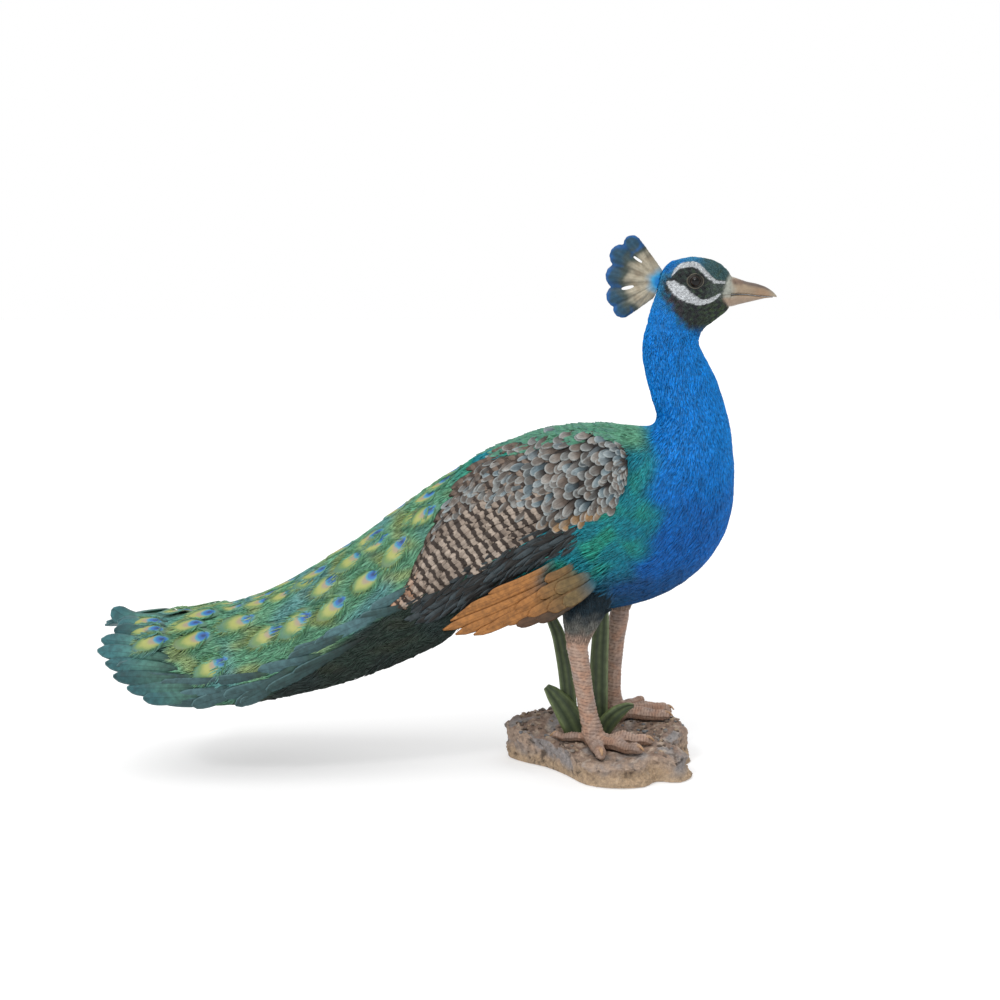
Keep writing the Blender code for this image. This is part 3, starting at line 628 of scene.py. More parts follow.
# ---------------------------------------------------------------- how the feathers lie
# The bill: x, top z, mouth z, bottom z, half width.
BILL_TABLE = np.array([
    (153, 613.4, 590.6, 575.4, 12.2), (160.6, 612.6, 590.8, 576.2, 11.6),
    (168, 610.0, 591.2, 578.4, 10.0), (178, 606.5, 590.8, 580.8, 8.4), (190, 604.2, 589.2, 583.6, 6.8),
    (201, 600.5, 588.3, 586.2, 5.0), (208.5, 596.0, 588.0, 586.9, 3.6), (212.5, 592.6, 587.8, 586.8, 2.5),
    (215.2, 589.0, 587.2, 586.4, 1.2),
])

# x, z, and the way a feather's tip points there in side view.
FLOW = [
    (156, 600, -1, 0), (140, 628, -1, 0.15), (110, 635, -1, -0.1), (85, 622, -0.8, -0.6),
    (62, 590, -0.2, -1), (112, 604, -1, -0.1), (135, 575, -0.9, -0.35), (112, 565, -0.6, -0.8),
    (130, 551, -0.5, -0.85), (70, 550, 0.0, -1), (86, 520, 0.1, -1), (52, 520, 0.05, -1),
    (60, 470, 0.2, -1), (125, 520, 0.25, -1), (152, 450, 0.25, -1), (105, 460, 0.2, -1),
    (75, 435, -0.1, -1), (166, 400, 0.02, -1), (167, 350, -0.05, -1), (160, 300, -0.25, -1),
    (140, 262, -0.6, -0.8), (105, 232, -0.85, -0.45), (60, 210, -0.95, -0.3), (10, 200, -1, -0.1),
    (120, 400, -0.1, -1), (110, 340, -0.35, -0.95), (100, 290, -0.55, -0.85), (60, 380, -0.4, -0.9),
    (55, 320, -0.65, -0.75), (50, 260, -0.85, -0.55), (0, 300, -0.9, -0.45), (0, 250, -0.95, -0.35),
    (40, 430, -1, 0.0), (0, 433, -1, 0), (-60, 428, -1, -0.05), (-110, 412, -0.95, -0.3),
    (-160, 385, -0.88, -0.45), (-230, 342, -0.76, -0.65), (-150, 250, -0.85, -0.5),
    (-250, 280, -0.6, -0.8), (-260, 200, -0.85, -0.5), (-340, 160, -0.9, -0.42), (-320, 230, -0.7, -0.7),
    (-310, 285, -0.78, -0.6), (-400, 120, -0.96, -0.25), (-400, 180, -0.84, -0.54),
    (-400, 225, -0.9, -0.42), (-480, 150, -0.86, -0.5), (-480, 195, -0.96, -0.25), (-560, 120, -1, -0.02),
    (-560, 165, -0.95, -0.25), (-560, 188, -1, 0.05), (-620, 150, -1, 0.1),
]


FLOW_BLUR, FLOW_FALL = 60, 1.5  # mm squared round each row, and how fast a row's pull falls with distance


def flow(points, normals, turn=None):
    """The lie of the coat at each point, by its nearness to the rows of FLOW."""
    table = np.array(FLOW, float)
    gap = points[:, None, [0, 2]] - table[None, :, :2]
    weight = 1 / ((gap**2).sum(2) + FLOW_BLUR) ** FLOW_FALL
    aim = (weight[..., None] * unit(table[None, :, 2:])).sum(1)
    heading = np.stack([aim[:, 0], 0 * aim[:, 0], aim[:, 1]], 1)
    heading = unit(heading - normals * (heading * normals).sum(1, keepdims=True))
    if turn is not None:
        swing = turn + 0.16 * wobble(points, 26.0, 0.4)
        heading = heading * np.cos(swing)[:, None] + np.cross(normals, heading) * np.sin(swing)[:, None]
    return heading


def train_flow(points, normals, turn):
    """The lie on the train, where the barbs gather into curling locks."""
    return flow(points, normals, turn + 0.32 * wobble(points, 17.0, 2.2))


def down(points, normals, turn=None):
    """Feathers of the thigh hang straight down."""
    heading = np.broadcast_to(np.array([-0.1, 0.0, -1.0]), points.shape).copy()
    heading = unit(heading - normals * (heading * normals).sum(1, keepdims=True))
    return heading if turn is None else heading + np.cross(normals, heading) * turn[:, None]


# ---------------------------------------------------------------- painted markings
EYE = np.array([113.5, 608.0])
EYE_DEPTH = 17.6
# Lines on the head in side view: x, z, half width.
STRIPE = [
    (85.5, 614.5, 0.5), (90.5, 621.8, 1.8), (96, 625.8, 2.6), (103, 627.6, 2.9), (111, 628, 3.1),
    (117.5, 625.8, 3.1), (123, 620.3, 2.8), (130, 613.1, 2.4), (138, 607, 2.0), (149, 606, 1.4),
]
PATCH_BEHIND_EYE = [
    (81, 605.5, 2.4), (86, 602.6, 5.4), (92.5, 597.4, 7.2), (101, 591.4, 7.4), (109.5, 585.8, 5.4),
    (120, 582.0, 3.3), (130, 583.6, 2.6), (138, 587.4, 2.2), (144, 592, 1.0),
]
GAPE = [(145.5, 590.6, 0.5), (162, 591.2, 0.6)]
NOSTRIL_PATCH = [(162.5, 607.3, 3.4), (171, 605.6, 2.4)]
NOSTRIL_HOLE = [(163.5, 606.2, 1.5), (168.5, 605.2, 1.0)]
BROW = [(98, 620, 5), (113, 623, 5), (126, 617, 5)]
LORES = [(128, 601, 5), (142, 598, 5)]
CHEEK = [(92, 588, 9), (112, 578, 8)]
# Borders between paints. The first two give x at a height, the third gives z at an x.
MASK_REAR = [
    (526, 126), (538, 117), (546, 108), (554, 98), (562, 92), (570, 86), (579, 80), (586, 76), (596, 73),
    (605, 74), (613, 79), (620, 86), (628, 94), (640, 102),
]
BILL_BASE = [
    (574, 158), (579, 153), (585, 148), (591, 147), (598, 149), (606, 151), (611, 153.5), (617, 157),
    (622, 162),
]
OVER_STRIPE = [
    (82, 616), (88, 622), (95, 627.5), (103, 629.5), (111, 630.5), (118, 628), (125, 621.5), (131, 615),
    (139, 609), (150, 607.5), (160, 607),
]


def table_at(rows, value):
    """The second number of a table at a value of the first."""
    keys, values = zip(*rows)
    return np.interp(value, keys, values)


def paint_head(p):
    """Blue crown and nape, dark mask, and the white stripes above and behind the eye."""
    x, y, z = p.T
    flat = p[:, [0, 2]]
    blur, fine, spots = wobble(p, 7.0, 1.0), wobble(p, 2.4, 0.3), wobble(p, 4.2, 2.0)
    lores = ease(120, 140, x) * ease(618, 606, z) * ease(582, 590, z)
    chin = ease(112, 136, x) * ease(588, 572, z)
    cheek = ease(108, 84, x) * ease(600, 584, z)
    mask = layered("mask", ("mask_green", 0.9 * ease(-0.4, 0.7, spots)), ("mask_pale", 0.75 * lores),
                   ("mask_olive", 0.75 * chin * ease(-0.4, 0.7, wobble(p, 5.5, 0.5))),
                   ("mask_olive", 0.45 * ease(0.2, 0.9, spots) * ease(98, 112, x)),
                   ("mask_plum", 0.85 * cheek * ease(-0.4, 0.5, wobble(p, 5.0, 3.1))))
    forehead = layered(COLOUR["azure"] * 0.8, ("crown", ease(88, 106, x + 4 * blur)),
                       ("forehead", ease(108, 134, x + 5 * blur + 3 * spots)),
                       ("mask_olive", 0.35 * ease(118, 138, x) * ease(0, 0.8, wobble(p, 5.0, 1.7))))
    inside = x - table_at(MASK_REAR, z) + 3.5 * blur + 1.6 * fine
    fringe = ease(-9, -1, inside) * ease(10, 2, inside) * ease(606, 590, z)
    stripe = ease(1.3, 0.75, line_distance(flat, STRIPE) + 0.12 * blur + 0.14 * fine)
    patch = ease(1.22, 0.84, line_distance(flat, PATCH_BEHIND_EYE) + 0.1 * blur + 0.12 * fine)
    white = mix("white", "white_shade", 0.5 * ease(-0.2, 0.9, fine))
    bare = ease(-4.0, 4.0, x - table_at(BILL_BASE, z) + 1.2 * fine)
    gape = ease(1.6, 0.6, line_distance(flat, GAPE))
    return layered(mix("crown", "azure", ease(606, 566, z + 6 * blur)), (mask, ease(-6, 9, inside)),
                   (COLOUR["teal"] * 0.7, 0.6 * fringe * ease(-0.5, 0.5, spots)),
                   (forehead, ease(-0.5, 2.5, z - table_at(OVER_STRIPE, x))),
                   (white, np.maximum(0.92 * stripe, patch) * ease(6, 9, np.abs(y))),
                   (bill_skin(p), bare), ("bill_shadow", 0.6 * gape))


def bill_skin(p):
    """Pale grey base, beige sides, a brown patch at the nostril, a grey-brown ridge and a pale tip."""
    x, _, z = p.T
    top, mouth, bottom = (np.interp(x, BILL_TABLE[:, 0], BILL_TABLE[:, i]) for i in (1, 2, 3))
    height = (z - mouth) / np.maximum(top - mouth, 0.5)
    depth = (mouth - z) / np.maximum(mouth - bottom, 0.5)
    streak = wobble(p * np.array([0.25, 1, 1]), 3.0, 0.8)
    nostril = line_distance(p[:, [0, 2]], NOSTRIL_PATCH)
    below = ease(0.0, -0.25, height)
    return layered("cere", ("bill", ease(155, 168, x + 2 * streak - 10 * ease(0.1, -0.8, height))),
                   ("bill_warm", 0.75 * ease(180, 194, x) * ease(0.9, 0.45, height)),
                   ("culmen", ease(0.58, 0.86, height + 0.08 * streak) * ease(163, 173, x)),
                   ("nostril", 0.9 * ease(1.5, 0.5, nostril)), ("bill_low", below),
                   ("culmen", 0.35 * below * ease(0.6, 1.0, depth) * ease(160, 172, x)),
                   ("bill_tip", 0.75 * ease(202, 213, x)), ("culmen", 0.14 * ease(0, 1, streak)))


# z, and the x where the blue breast turns into the green flank.
FLANK_BORDER = [
    (200, 10), (236, 6), (285, 50), (334, 64), (383, 52), (419, 58), (434, 44), (446, -60),
]


def paint_body(p, normals):
    """Neck, breast, flank and back, with painted shade low on the body and painted light and shade over the
    feather clumps.
    """
    x, _, z = p.T
    blur = wobble(p, 30.0, 0.3)
    border = table_at(FLANK_BORDER, z)
    patchy = ease(-0.15, 0.75, wobble(p, 24.0, 1.9) + 0.2)
    near_wing = ease(18, -42, x - border + 8 * blur)
    back = ease(396, 416, z) * ease(64, 36, x + 5 * blur) * ease(0.2, 0.6, normals[:, 2])
    # Painted shade under the body: lower darkens the flank's green, and the navy belly paint darkens the
    # breast towards the bottom.
    lower = ease(246, 212, z) * ease(40, 0, x)
    # Painted light and shade of the feather clumps: the colour is made lighter and darker in broad patches.
    clump_shading = wobble(p * np.array([1.0, 1.0, 0.6]), 10.0, 2.1)
    colour = layered("azure", ("royal", ease(430, 290, z + 14 * blur)),
                     ("teal", ease(26, -14, x - border + 16 * blur)),
                     ("green", near_wing * (0.25 + 0.6 * patchy) * ease(225, 270, z)), ("mantle", back),
                     (COLOUR["deep_green"] * 0.7, 0.7 * lower),
                     ("belly_painted_shade", 0.75 * ease(275, 222, z + 8 * blur)))
    return colour * (1 + 0.13 * clump_shading)[:, None]


def paint_neck(p, normals):
    """The blue of the neck, which runs up under the dark mask of the head."""
    return mix(paint_body(p, normals), paint_head(p), ease(536, 556, p[:, 2]))


def paint_thigh(p):
    """Dark teal at the top, grey below, and the leg's own paint at the end of the feathers."""
    blur = wobble(p, 9.0, 0.9)
    above = p[:, 2] - thigh_end(p)
    return layered("thigh_top", ("thigh_grey", ease(40, 16, above + 6 * blur)),
                   ("flesh", ease(17, 2, above + 4 * blur)))


# The train's lower edge, and the line below which the train's side is painted dark as painted shade, in side
# view.
TRAIN_EDGE = [
    (-640, 150), (-592, 134), (-566, 118), (-534, 105), (-494, 100), (-448, 101), (-400, 107),
    (-352, 117), (-302, 129), (-256, 145), (-219, 160), (-187, 176), (-159, 202), (-135, 232),
    (-114, 262),
]
DARK_BELOW = [
    (-640, 90), (-455, 92), (-403, 118), (-361, 145), (-317, 178), (-283, 200), (-244, 222), (-200, 246),
    (-100, 275),
]


def paint_train(p, normals):
    """Green with olive and teal streaks, teal at the end, and darker at the lower rim and underneath as
    painted shade.
    """
    x, _, z = p.T
    streak = wobble(p * np.array([0.35, 1.0, 1.0]), 14.0, 0.6)
    cloud = wobble(p, 42.0, 1.4)
    rim = ease(24, 6, z - table_at(TRAIN_EDGE, x)) * ease(-150, -200, x)
    low = ease(6, -8, z - table_at(DARK_BELOW, x))
    colour = layered("train_green", ("olive", ease(-0.1, 0.9, streak) * 0.75),
                     ("train_teal", ease(0.0, 0.9, cloud) * 0.75),
                     (COLOUR["green"] * 0.85, ease(-215, -150, x)),
                     ("tip_teal", 0.7 * ease(-545, -605, x + 14 * cloud)))
    # Painted shade: half as bright along the lower rim, and near black low on the sides and on the hollow
    # underside.
    return layered(colour, (colour * 0.5, rim), ("under", 0.95 * low * ease(-470, -420, x)),
                   ("under", train_inside(p, normals)))


def train_inside(p, normals):
    """1 on the hollow underside of the train."""
    x, y, z = p.T
    from_edge = np.stack([0 * x, y, z - table_at(TRAIN_EDGE, x) + 6], 1)
    return ease(0.05, -0.25, (unit(from_edge) * normals).sum(1))


def paint_leg(p):
    """Flesh and grey in soft patches, dark in the grooves between the scales and round the feet."""
    blur = wobble(p, 11.0, 0.2)
    low = ease(9, -2, p[:, 2] - by_side(p, FOOT_DARK))
    return layered("flesh", ("flesh_orange", 0.75 * ease(-0.5, 0.7, blur)),
                   ("flesh_grey", 0.6 * ease(0.1, 0.9, wobble(p, 17.0, 2.2))),
                   ("flesh_dark", 0.85 * ease(0.7, 0.2, scutes(p))), ("flesh_dark", 0.5 * low))


# ---------------------------------------------------------------- skin
SCUTE, TOE_SCUTE = 4.3, 3.6  # how far apart the ring scales lie on the shank and on the toes
ANKLES = {RIGHT: np.array([-10.0, -45.0]), LEFT: np.array([22.0, 45.0])}
# Heights at which the feathers of the thigh end, the toes begin, and the dark by the ground begins.
THIGH_ENDS = {RIGHT: 168.0, LEFT: 186.0}
FOOT_TOPS = {RIGHT: 58.0, LEFT: 68.0}
FOOT_DARK = {RIGHT: 42.0, LEFT: 47.0}


def by_side(p, values):
    """The value of each point's own side."""
    return np.where(p[:, 1] < 0, values[RIGHT], values[LEFT])


def thigh_end(p):
    return by_side(p, THIGH_ENDS)


def scutes(p):
    """0 in the grooves and 1 on the ridges of the rings down the shank and across the toes."""
    x, _, z = p.T
    ankle = np.where(p[:, 1:2] < 0, ANKLES[RIGHT], ANKLES[LEFT])
    out = np.linalg.norm(p[:, :2] - ankle, axis=1)
    slant = z + 0.16 * (x - ankle[:, 0]) + 0.7 * wobble(p, 9.0)
    ring = np.abs(np.sin(slant * math.pi / SCUTE)) ** 0.6
    toe = np.abs(np.sin(out * math.pi / TOE_SCUTE + 0.35 * wobble(p, 8.0))) ** 0.6
    on_toe = ease(2.0, -4.0, z - by_side(p, FOOT_TOPS)) * ease(13.0, 18.0, out)
    return ring * (1 - on_toe) + toe * on_toe


def leg_relief(p, normals):
    """Ring scutes down the shank and over the toes, with a few creases between them."""
    upwards = ease(-0.5, 0.1, normals[:, 2])
    return (scutes(p) * upwards + 0.25 * wobble(p, 3.2, 0.7)) * 0.95 - 0.6


def head_relief(p):
    """Eye sockets, a brow over them and the hollow of the lores."""
    x, y, z = p.T
    flat = p[:, [0, 2]]
    away = np.linalg.norm(flat - EYE, axis=1)
    on_side = ease(8, 12, np.abs(y))
    socket = -4.5 * ease(7.2, 5.6, away)
    brow = 1.1 * ease(1.6, 0.6, line_distance(flat, BROW))
    lores = -0.9 * ease(1.5, 0.4, line_distance(flat, LORES))
    cheek = 0.9 * ease(1.6, 0.4, line_distance(flat, CHEEK))
    crown = 1.5 * ease(600, 628, z)
    nape = 5.0 * np.exp(-((x - 79) ** 2 + (z - 622) ** 2) / (2 * 11.0**2))
    return (socket + brow + lores + cheek) * on_side + crown + nape


NECK_BASE = [(60, 434, 1.0), (178, 394, 1.0)]


def make_skin():
    """Three overlapping closed shells in one piece: body and train, a finer head, and finer legs."""
    body, body_tris = shell(FEATHERED, BODY_VOXEL, BODY_INSET, rounds=3,
                            cut=((BODY_END, 0, 0), (-1, 0, 0)))
    body = relaxed(body, body_tris, 0.5 * ease(15, 7, line_distance(body[:, [0, 2]], NECK_BASE)), 30)
    head, head_tris = shell(["head", "neck"], HEAD_VOXEL, HEAD_INSET, rounds=8,
                            cut=((0, 0, HEAD_END), (0, 0, -1)))
    head += point_normals(head, head_tris) * head_relief(head)[:, None]
    tuck_in(head)
    legs, leg_tris = shell(LEGS + THIGHS, LEG_VOXEL, LEG_INSET, rounds=3,
                           cut=((0, 0, LEGS_END), (0, 0, 1)))
    leg_normals = point_normals(legs, leg_tris)
    above = legs[:, 2] - thigh_end(legs)
    under_thigh = ease(-12, 8, above) + 0.6 * ease(12, 20, above)
    relief = leg_relief(legs, leg_normals) * (1 - ease(-12, 8, above))
    legs += leg_normals * (relief - 2.6 * under_thigh)[:, None]
    return (body, body_tris), (head, head_tris), (legs, leg_tris)


NECK_MIDDLE = [(505, 92), (530, 86.5), (556, 87)]  # z, x


def tuck_in(head):
    """Draws the lower end of the head's shell towards the middle of the neck, where the body covers it."""
    x, _, z = head.T
    middle = np.stack([table_at(NECK_MIDDLE, z), 0 * x], 1)
    ragged = z + 9.0 * wobble(head, 9.0, 0.5)
    share = 1 - 0.11 * ease(560, 532, ragged) - 0.45 * ease(526, 516, z)
    head[:, :2] = middle + (head[:, :2] - middle) * share[:, None]


def nearest_node(places):
    """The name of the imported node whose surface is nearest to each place."""
    verts, faces, owner = [], [], []
    for i, name in enumerate(FEATHERED):
        mesh = frame["nodes"][name].data
        start = len(verts)
        verts += [tuple(v.co / MM) for v in mesh.vertices]
        faces += [[start + j for j in polygon.vertices] for polygon in mesh.polygons]
        owner += [i] * len(mesh.polygons)
    tree = BVHTree.FromPolygons(verts, faces)
    found = [owner[tree.find_nearest(c)[2]] for c in places.tolist()]
    return np.array(FEATHERED)[found]


def paint_skin(p, normals, nodes):
    """The same markings as the coat's, drawn darker as painted shade for the cracks between feathers."""
    colour = paint_body(p, normals)
    on_train = np.char.startswith(nodes, "train")
    on_wing = np.char.startswith(nodes, "wing") | np.char.startswith(nodes, "secondaries")
    on_thigh = np.char.startswith(nodes, "thigh")
    colour[on_train] = paint_train(p[on_train], normals[on_train])
    colour[on_wing] = COLOUR["wing_bar"]
    colour[on_thigh] = paint_thigh(p[on_thigh])
    # Painted shade: the skin between the feathers is drawn darker than the coat.
    return colour * 0.55


# ---------------------------------------------------------------- coat of small tufts
# Kinds of stroke: how many to the square centimetre, half width, thickness, lift of the tip, rings.
STROKES = {
    "head": (56, 0.5, 0.5, 0.5, 3), "neck": (27, 0.8, 0.8, 1.1, 3), "body": (20.5, 0.94, 0.85, 1.2, 3),
    "over_roots": (26, 0.9, 0.9, 7.0, 5), "thigh": (34, 0.6, 0.6, 0.9, 3), "train": (9.2, 0.9, 0.8, 1.3, 5),
    "under": (3.3, 1.8, 0.9, 1.4, 4),
}


def strokes(kind, surface, chosen, length, painter, heading, unwrap=along_spine, sway=0.12):
    """Fine carved strokes over the chosen faces, each a thin closed blade that follows the lie."""
    per_cm2, half, thick, lift, rings = STROKES[kind]
    roots, normals = surface.scatter(chosen, per_cm2)
    n = len(roots)
    lengths = length(roots) if callable(length) else np.full(n, float(length))
    lengths = lengths * RNG.uniform(0.75, 1.25, n)
    turn = RNG.normal(0, sway, n)
    paths, ups = surface.trace(roots, normals, lambda p, m: heading(p, m, turn), lengths, rings)
    tone = RNG.uniform(0.72, 1.25, (n, 1))[:, None]
    colours = paint_along(painter, paths, ups)
    share = np.linspace(0, 1, rings)
    # Each stroke is darker at its root and lighter at its tip, as painted shade where the strokes overlap,
    # on top of a random tone for each.
    tone = tone * (0.72 + 0.4 * share)[None, :, None]
    pale = ease(0.25, 0.5, colours.min(axis=2))[..., None]
    colours = colours * (tone + (1 - tone) * 0.75 * pale)
    outline = np.interp(share, [0, 0.5, 0.8, 1], [0.6, 1.0, 0.8, 0.15])
    lifts = np.outer(RNG.uniform(0.5, 1.5, n), lift * share) - 0.2
    size = RNG.uniform(0.8, 1.25, n)
    bake = tuft_bake(roots, unwrap, rings, TUFT_SECTION)
    return dict(paths=paths, ups=ups, half=half * size, thick=thick * size, lifts=lifts, outline=outline,
                section=TUFT_SECTION, colours=colours, bake=bake,
                taper=np.interp(share, [0, 0.5, 1], [0.6, 1, 0.3]))


def coat(name, material, slot, *groups):
    blades = Blades()
    for group in groups:
        blades.add(**group)
    return piece(blades.build(name, material), slot)


def make_coats(body, head, nodes):
    """All the small strokes, in pieces small enough for the library."""
    hide = painted("coat", rough=(0.34, 0.52), vary=(0.85, 1.2))
    x, y, z = body.centres.T
    head_x, _, head_z = head.centres.T
    around_eye = np.linalg.norm(head.centres[:, [0, 2]] - EYE, axis=1)
    on_head = (around_eye > 9.0) & (head_x < table_at(BILL_BASE, head_z) + 1)
    coat("coat_head", hide, "teal",
         strokes("head", head, on_head * ease(529, 552, head_z),
                 lambda p: 3.2 + 3.6 * ease(592, 545, p[:, 2]), paint_neck, flow))
    on_neck = ease(560, 538, z) * np.isin(nodes, ["head", "neck"])
    coat("coat_neck", hide, "blue",
         strokes("neck", body, on_neck, lambda p: 6.6 + 2.4 * ease(545, 500, p[:, 2]), paint_neck, flow))
    on_trunk, front = nodes == "trunk", x > 62
    wing_roots = on_trunk * ease(-34, -20, x) * ease(14, 4, x)
    wing_roots = wing_roots * ease(222, 232, z) * ease(290, 278, z) * (np.abs(y) > 40)
    for side, word in SIDES.items():
        this_side = on_trunk & (y * side >= 0)
        coat(f"coat_breast_{word}", hide, "blue",
             strokes("body", body, this_side & front, body_stroke_length, paint_body, flow))
        coat(f"coat_flank_{word}", hide, "blue",
             strokes("body", body, this_side & ~front, body_stroke_length, paint_body, flow),
             strokes("over_roots", body, wing_roots * this_side, 21, paint_body, flow))
    on_thigh = np.char.startswith(nodes, "thigh") * ease(-9, 16, z - thigh_end(body.centres))
    coat("coat_thighs", hide, "teal",
         strokes("thigh", body, on_thigh, 7.5, lambda p, m: paint_thigh(p), down, round_leg))
    on_train = np.char.startswith(nodes, "train")
    inside = train_inside(body.centres, body.face_normals)
    for side, word in SIDES.items():
        outside = (on_train & (y * side >= 0)) * (1 - inside)
        coat(f"coat_train_{word}", hide, "green",
             strokes("train", body, outside, 21, paint_train, train_flow, sway=0.2))
    coat("coat_train_under", hide, "green",
         strokes("under", body, on_train * inside * ease(-552, -535, x), 26, paint_train, flow))


def body_stroke_length(p):
    return np.interp(p[:, 0], [-100, 60, 160], [13, 12, 9.5])


# ---------------------------------------------------------------- the folded wings
# Upper and lower edge (x, z) from the shoulder to the tip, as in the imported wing.
WING_EDGES = [
    ((31, 396), (29, 376)), ((27, 414), (12, 338)), ((-12, 423), (-32, 320)), ((-60, 421), (-72, 308)),
    ((-105, 410), (-112, 284)), ((-146, 386), (-150, 267)), ((-180, 345), (-190, 245)),
    ((-208, 300), (-222, 230)), ((-232, 240), (-236, 228)),
]
SECONDARY_EDGES = [
    ((-22, 328), (-26, 294)), ((-74, 314), (-66, 274)), ((-112, 290), (-108, 249)),
    ((-150, 272), (-146, 231)), ((-190, 249), (-184, 210)), ((-216, 234), (-206, 203)),
]


def plate_point(edges, u, v):
    """x, z on a plate: u runs from its first edge pair to its last, v from the upper to the lower edge."""
    table = np.array(edges, float).reshape(len(edges), 4)
    at = np.clip(u, 0, 1) * (len(edges) - 1)
    row = np.array([np.interp(at, np.arange(len(edges)), table[:, i]) for i in range(4)])
    return row[:2].T * (1 - v)[..., None] + row[2:].T * np.asarray(v)[..., None]


def plate_paths(surface, side, edges, u, v, lengths, rings, droop=0.0):
    """Paths of feathers that lie along a plate on the flank."""
    start = plate_point(edges, u, v)
    ahead = plate_point(edges, np.minimum(u + 0.06, 1.0), v) - plate_point(edges, np.maximum(u - 0.06, 0), v)
    aim = unit(ahead)
    aim = unit(aim + np.stack([0 * u, -np.ones(len(u))], 1) * np.reshape(droop, (-1, 1)))
    share = np.linspace(0, 1, rings)
    flat = start[:, None] + aim[:, None] * (lengths[:, None] * share)[..., None]
    places, normals = surface.seen_from(side, flat[..., 0].ravel(), flat[..., 1].ravel())
    return places.reshape(len(u), rings, 3), unit(smooth_rows(normals.reshape(len(u), rings, 3)))


def smooth_rows(values):
    """Each feather's normals averaged with their neighbours along it."""
    padded = np.concatenate([values[:, :1], values, values[:, -1:]], 1)
    return padded[:, :-2] + 2 * padded[:, 1:-1] + padded[:, 2:]


def round_tip(rings, start=0.45, root=0.55, tip=0.22):
    """Share of the full width at each ring: widening from the root, then a round end."""
    t = np.linspace(0, 1, rings)
    closing = np.sqrt(np.clip(1 - ((t - start) / (1 - start)) ** 2, 0, 1))
    return np.where(t < start, root + (1 - root) * np.sin(t / start * math.pi / 2), np.maximum(closing, tip))


def staggered(u_rows, width_at, gap):
    """(u, v) of feather roots in staggered rows; width_at gives the plate's width in mm."""
    us, vs = [], []
    for i, u in enumerate(u_rows):
        count = max(2, int(round(width_at(u) / gap(u))))
        v = (np.arange(count) + (0.25 if i % 2 else 0.75)) / count
        us.append(np.full(count, u) + RNG.uniform(-0.006, 0.006, count))
        vs.append(np.clip(v + RNG.uniform(-0.02, 0.02, count), 0.02, 0.98))
    return np.concatenate(us), np.concatenate(vs)


def wing_width(u):
    upper, lower = plate_point(WING_EDGES, np.array([u, u]), np.array([0.0, 1.0]))
    return float(np.linalg.norm(upper - lower))


# Along the wing from 0 to 1: the rows of its long barred feathers, and their lengths.
BARRED_ROWS = [0.34, 0.42, 0.50, 0.58, 0.66, 0.74, 0.81, 0.87]
BARRED_LENGTHS = ([0.34, 0.6, 0.76, 0.87], [62, 70, 64, 48])
# The same for the rounded scales over their roots, with the gaps between them and the half width and
# droop of each. SCALES_REACH says how far down the wing they come.
SCALE_ROWS = [*np.linspace(-0.01, 0.16, 9), *np.linspace(0.18, 0.84, 24)]
SCALE_LENGTHS = ([0, 0.2, 0.5, 0.8], [12, 19, 25, 32])
SCALE_GAPS = ([0, 0.25, 0.8], [7.0, 9.0, 8.0])
SCALE_HALVES = ([0, 0.15, 0.35, 0.84], [4.0, 5.8, 6.8, 5.0])
SCALE_DROOPS = ([0, 0.2, 0.5, 0.8], [0.95, 0.6, 0.3, 0.05])
SCALES_REACH = ([0.27, 0.38, 0.55, 0.8], [1.1, 0.74, 0.36, 0.12])
WING_RINGS, SECONDARY_RINGS, PRIMARY_RINGS = 9, 8, 14


def barred_feathers(surface, side):
    """The long barred feathers of the wing's rear half."""
    u, v = staggered(BARRED_ROWS, wing_width, lambda at: 9.0)
    n, rings = len(u), WING_RINGS
    lengths = np.interp(u, *BARRED_LENGTHS) * RNG.uniform(0.85, 1.1, n)
    paths, ups = plate_paths(surface, side, WING_EDGES, u, v, lengths, rings, droop=0.08)
    base = mix("wing_brown", "wing_beige", RNG.uniform(0.35, 1.0, n) * ease(0.1, 0.6, v))
    tan = ease(0.70, 0.88, u) * ease(0.3, 0.8, v)
    base = mix(base, "wing_tan", 0.85 * tan * RNG.uniform(0.4, 1.0, n))
    return dict(paths=paths, ups=ups, half=RNG.uniform(4.8, 7.0, n), thick=1.0,
                colours=np.repeat(base[:, None], rings, 1), lifts=np.linspace(-0.8, 2.0, rings),
                outline=round_tip(rings, 0.72), tilt=-side * 0.7, marks=0.95 * ease(0.05, 0.4, v + u * 0.4))


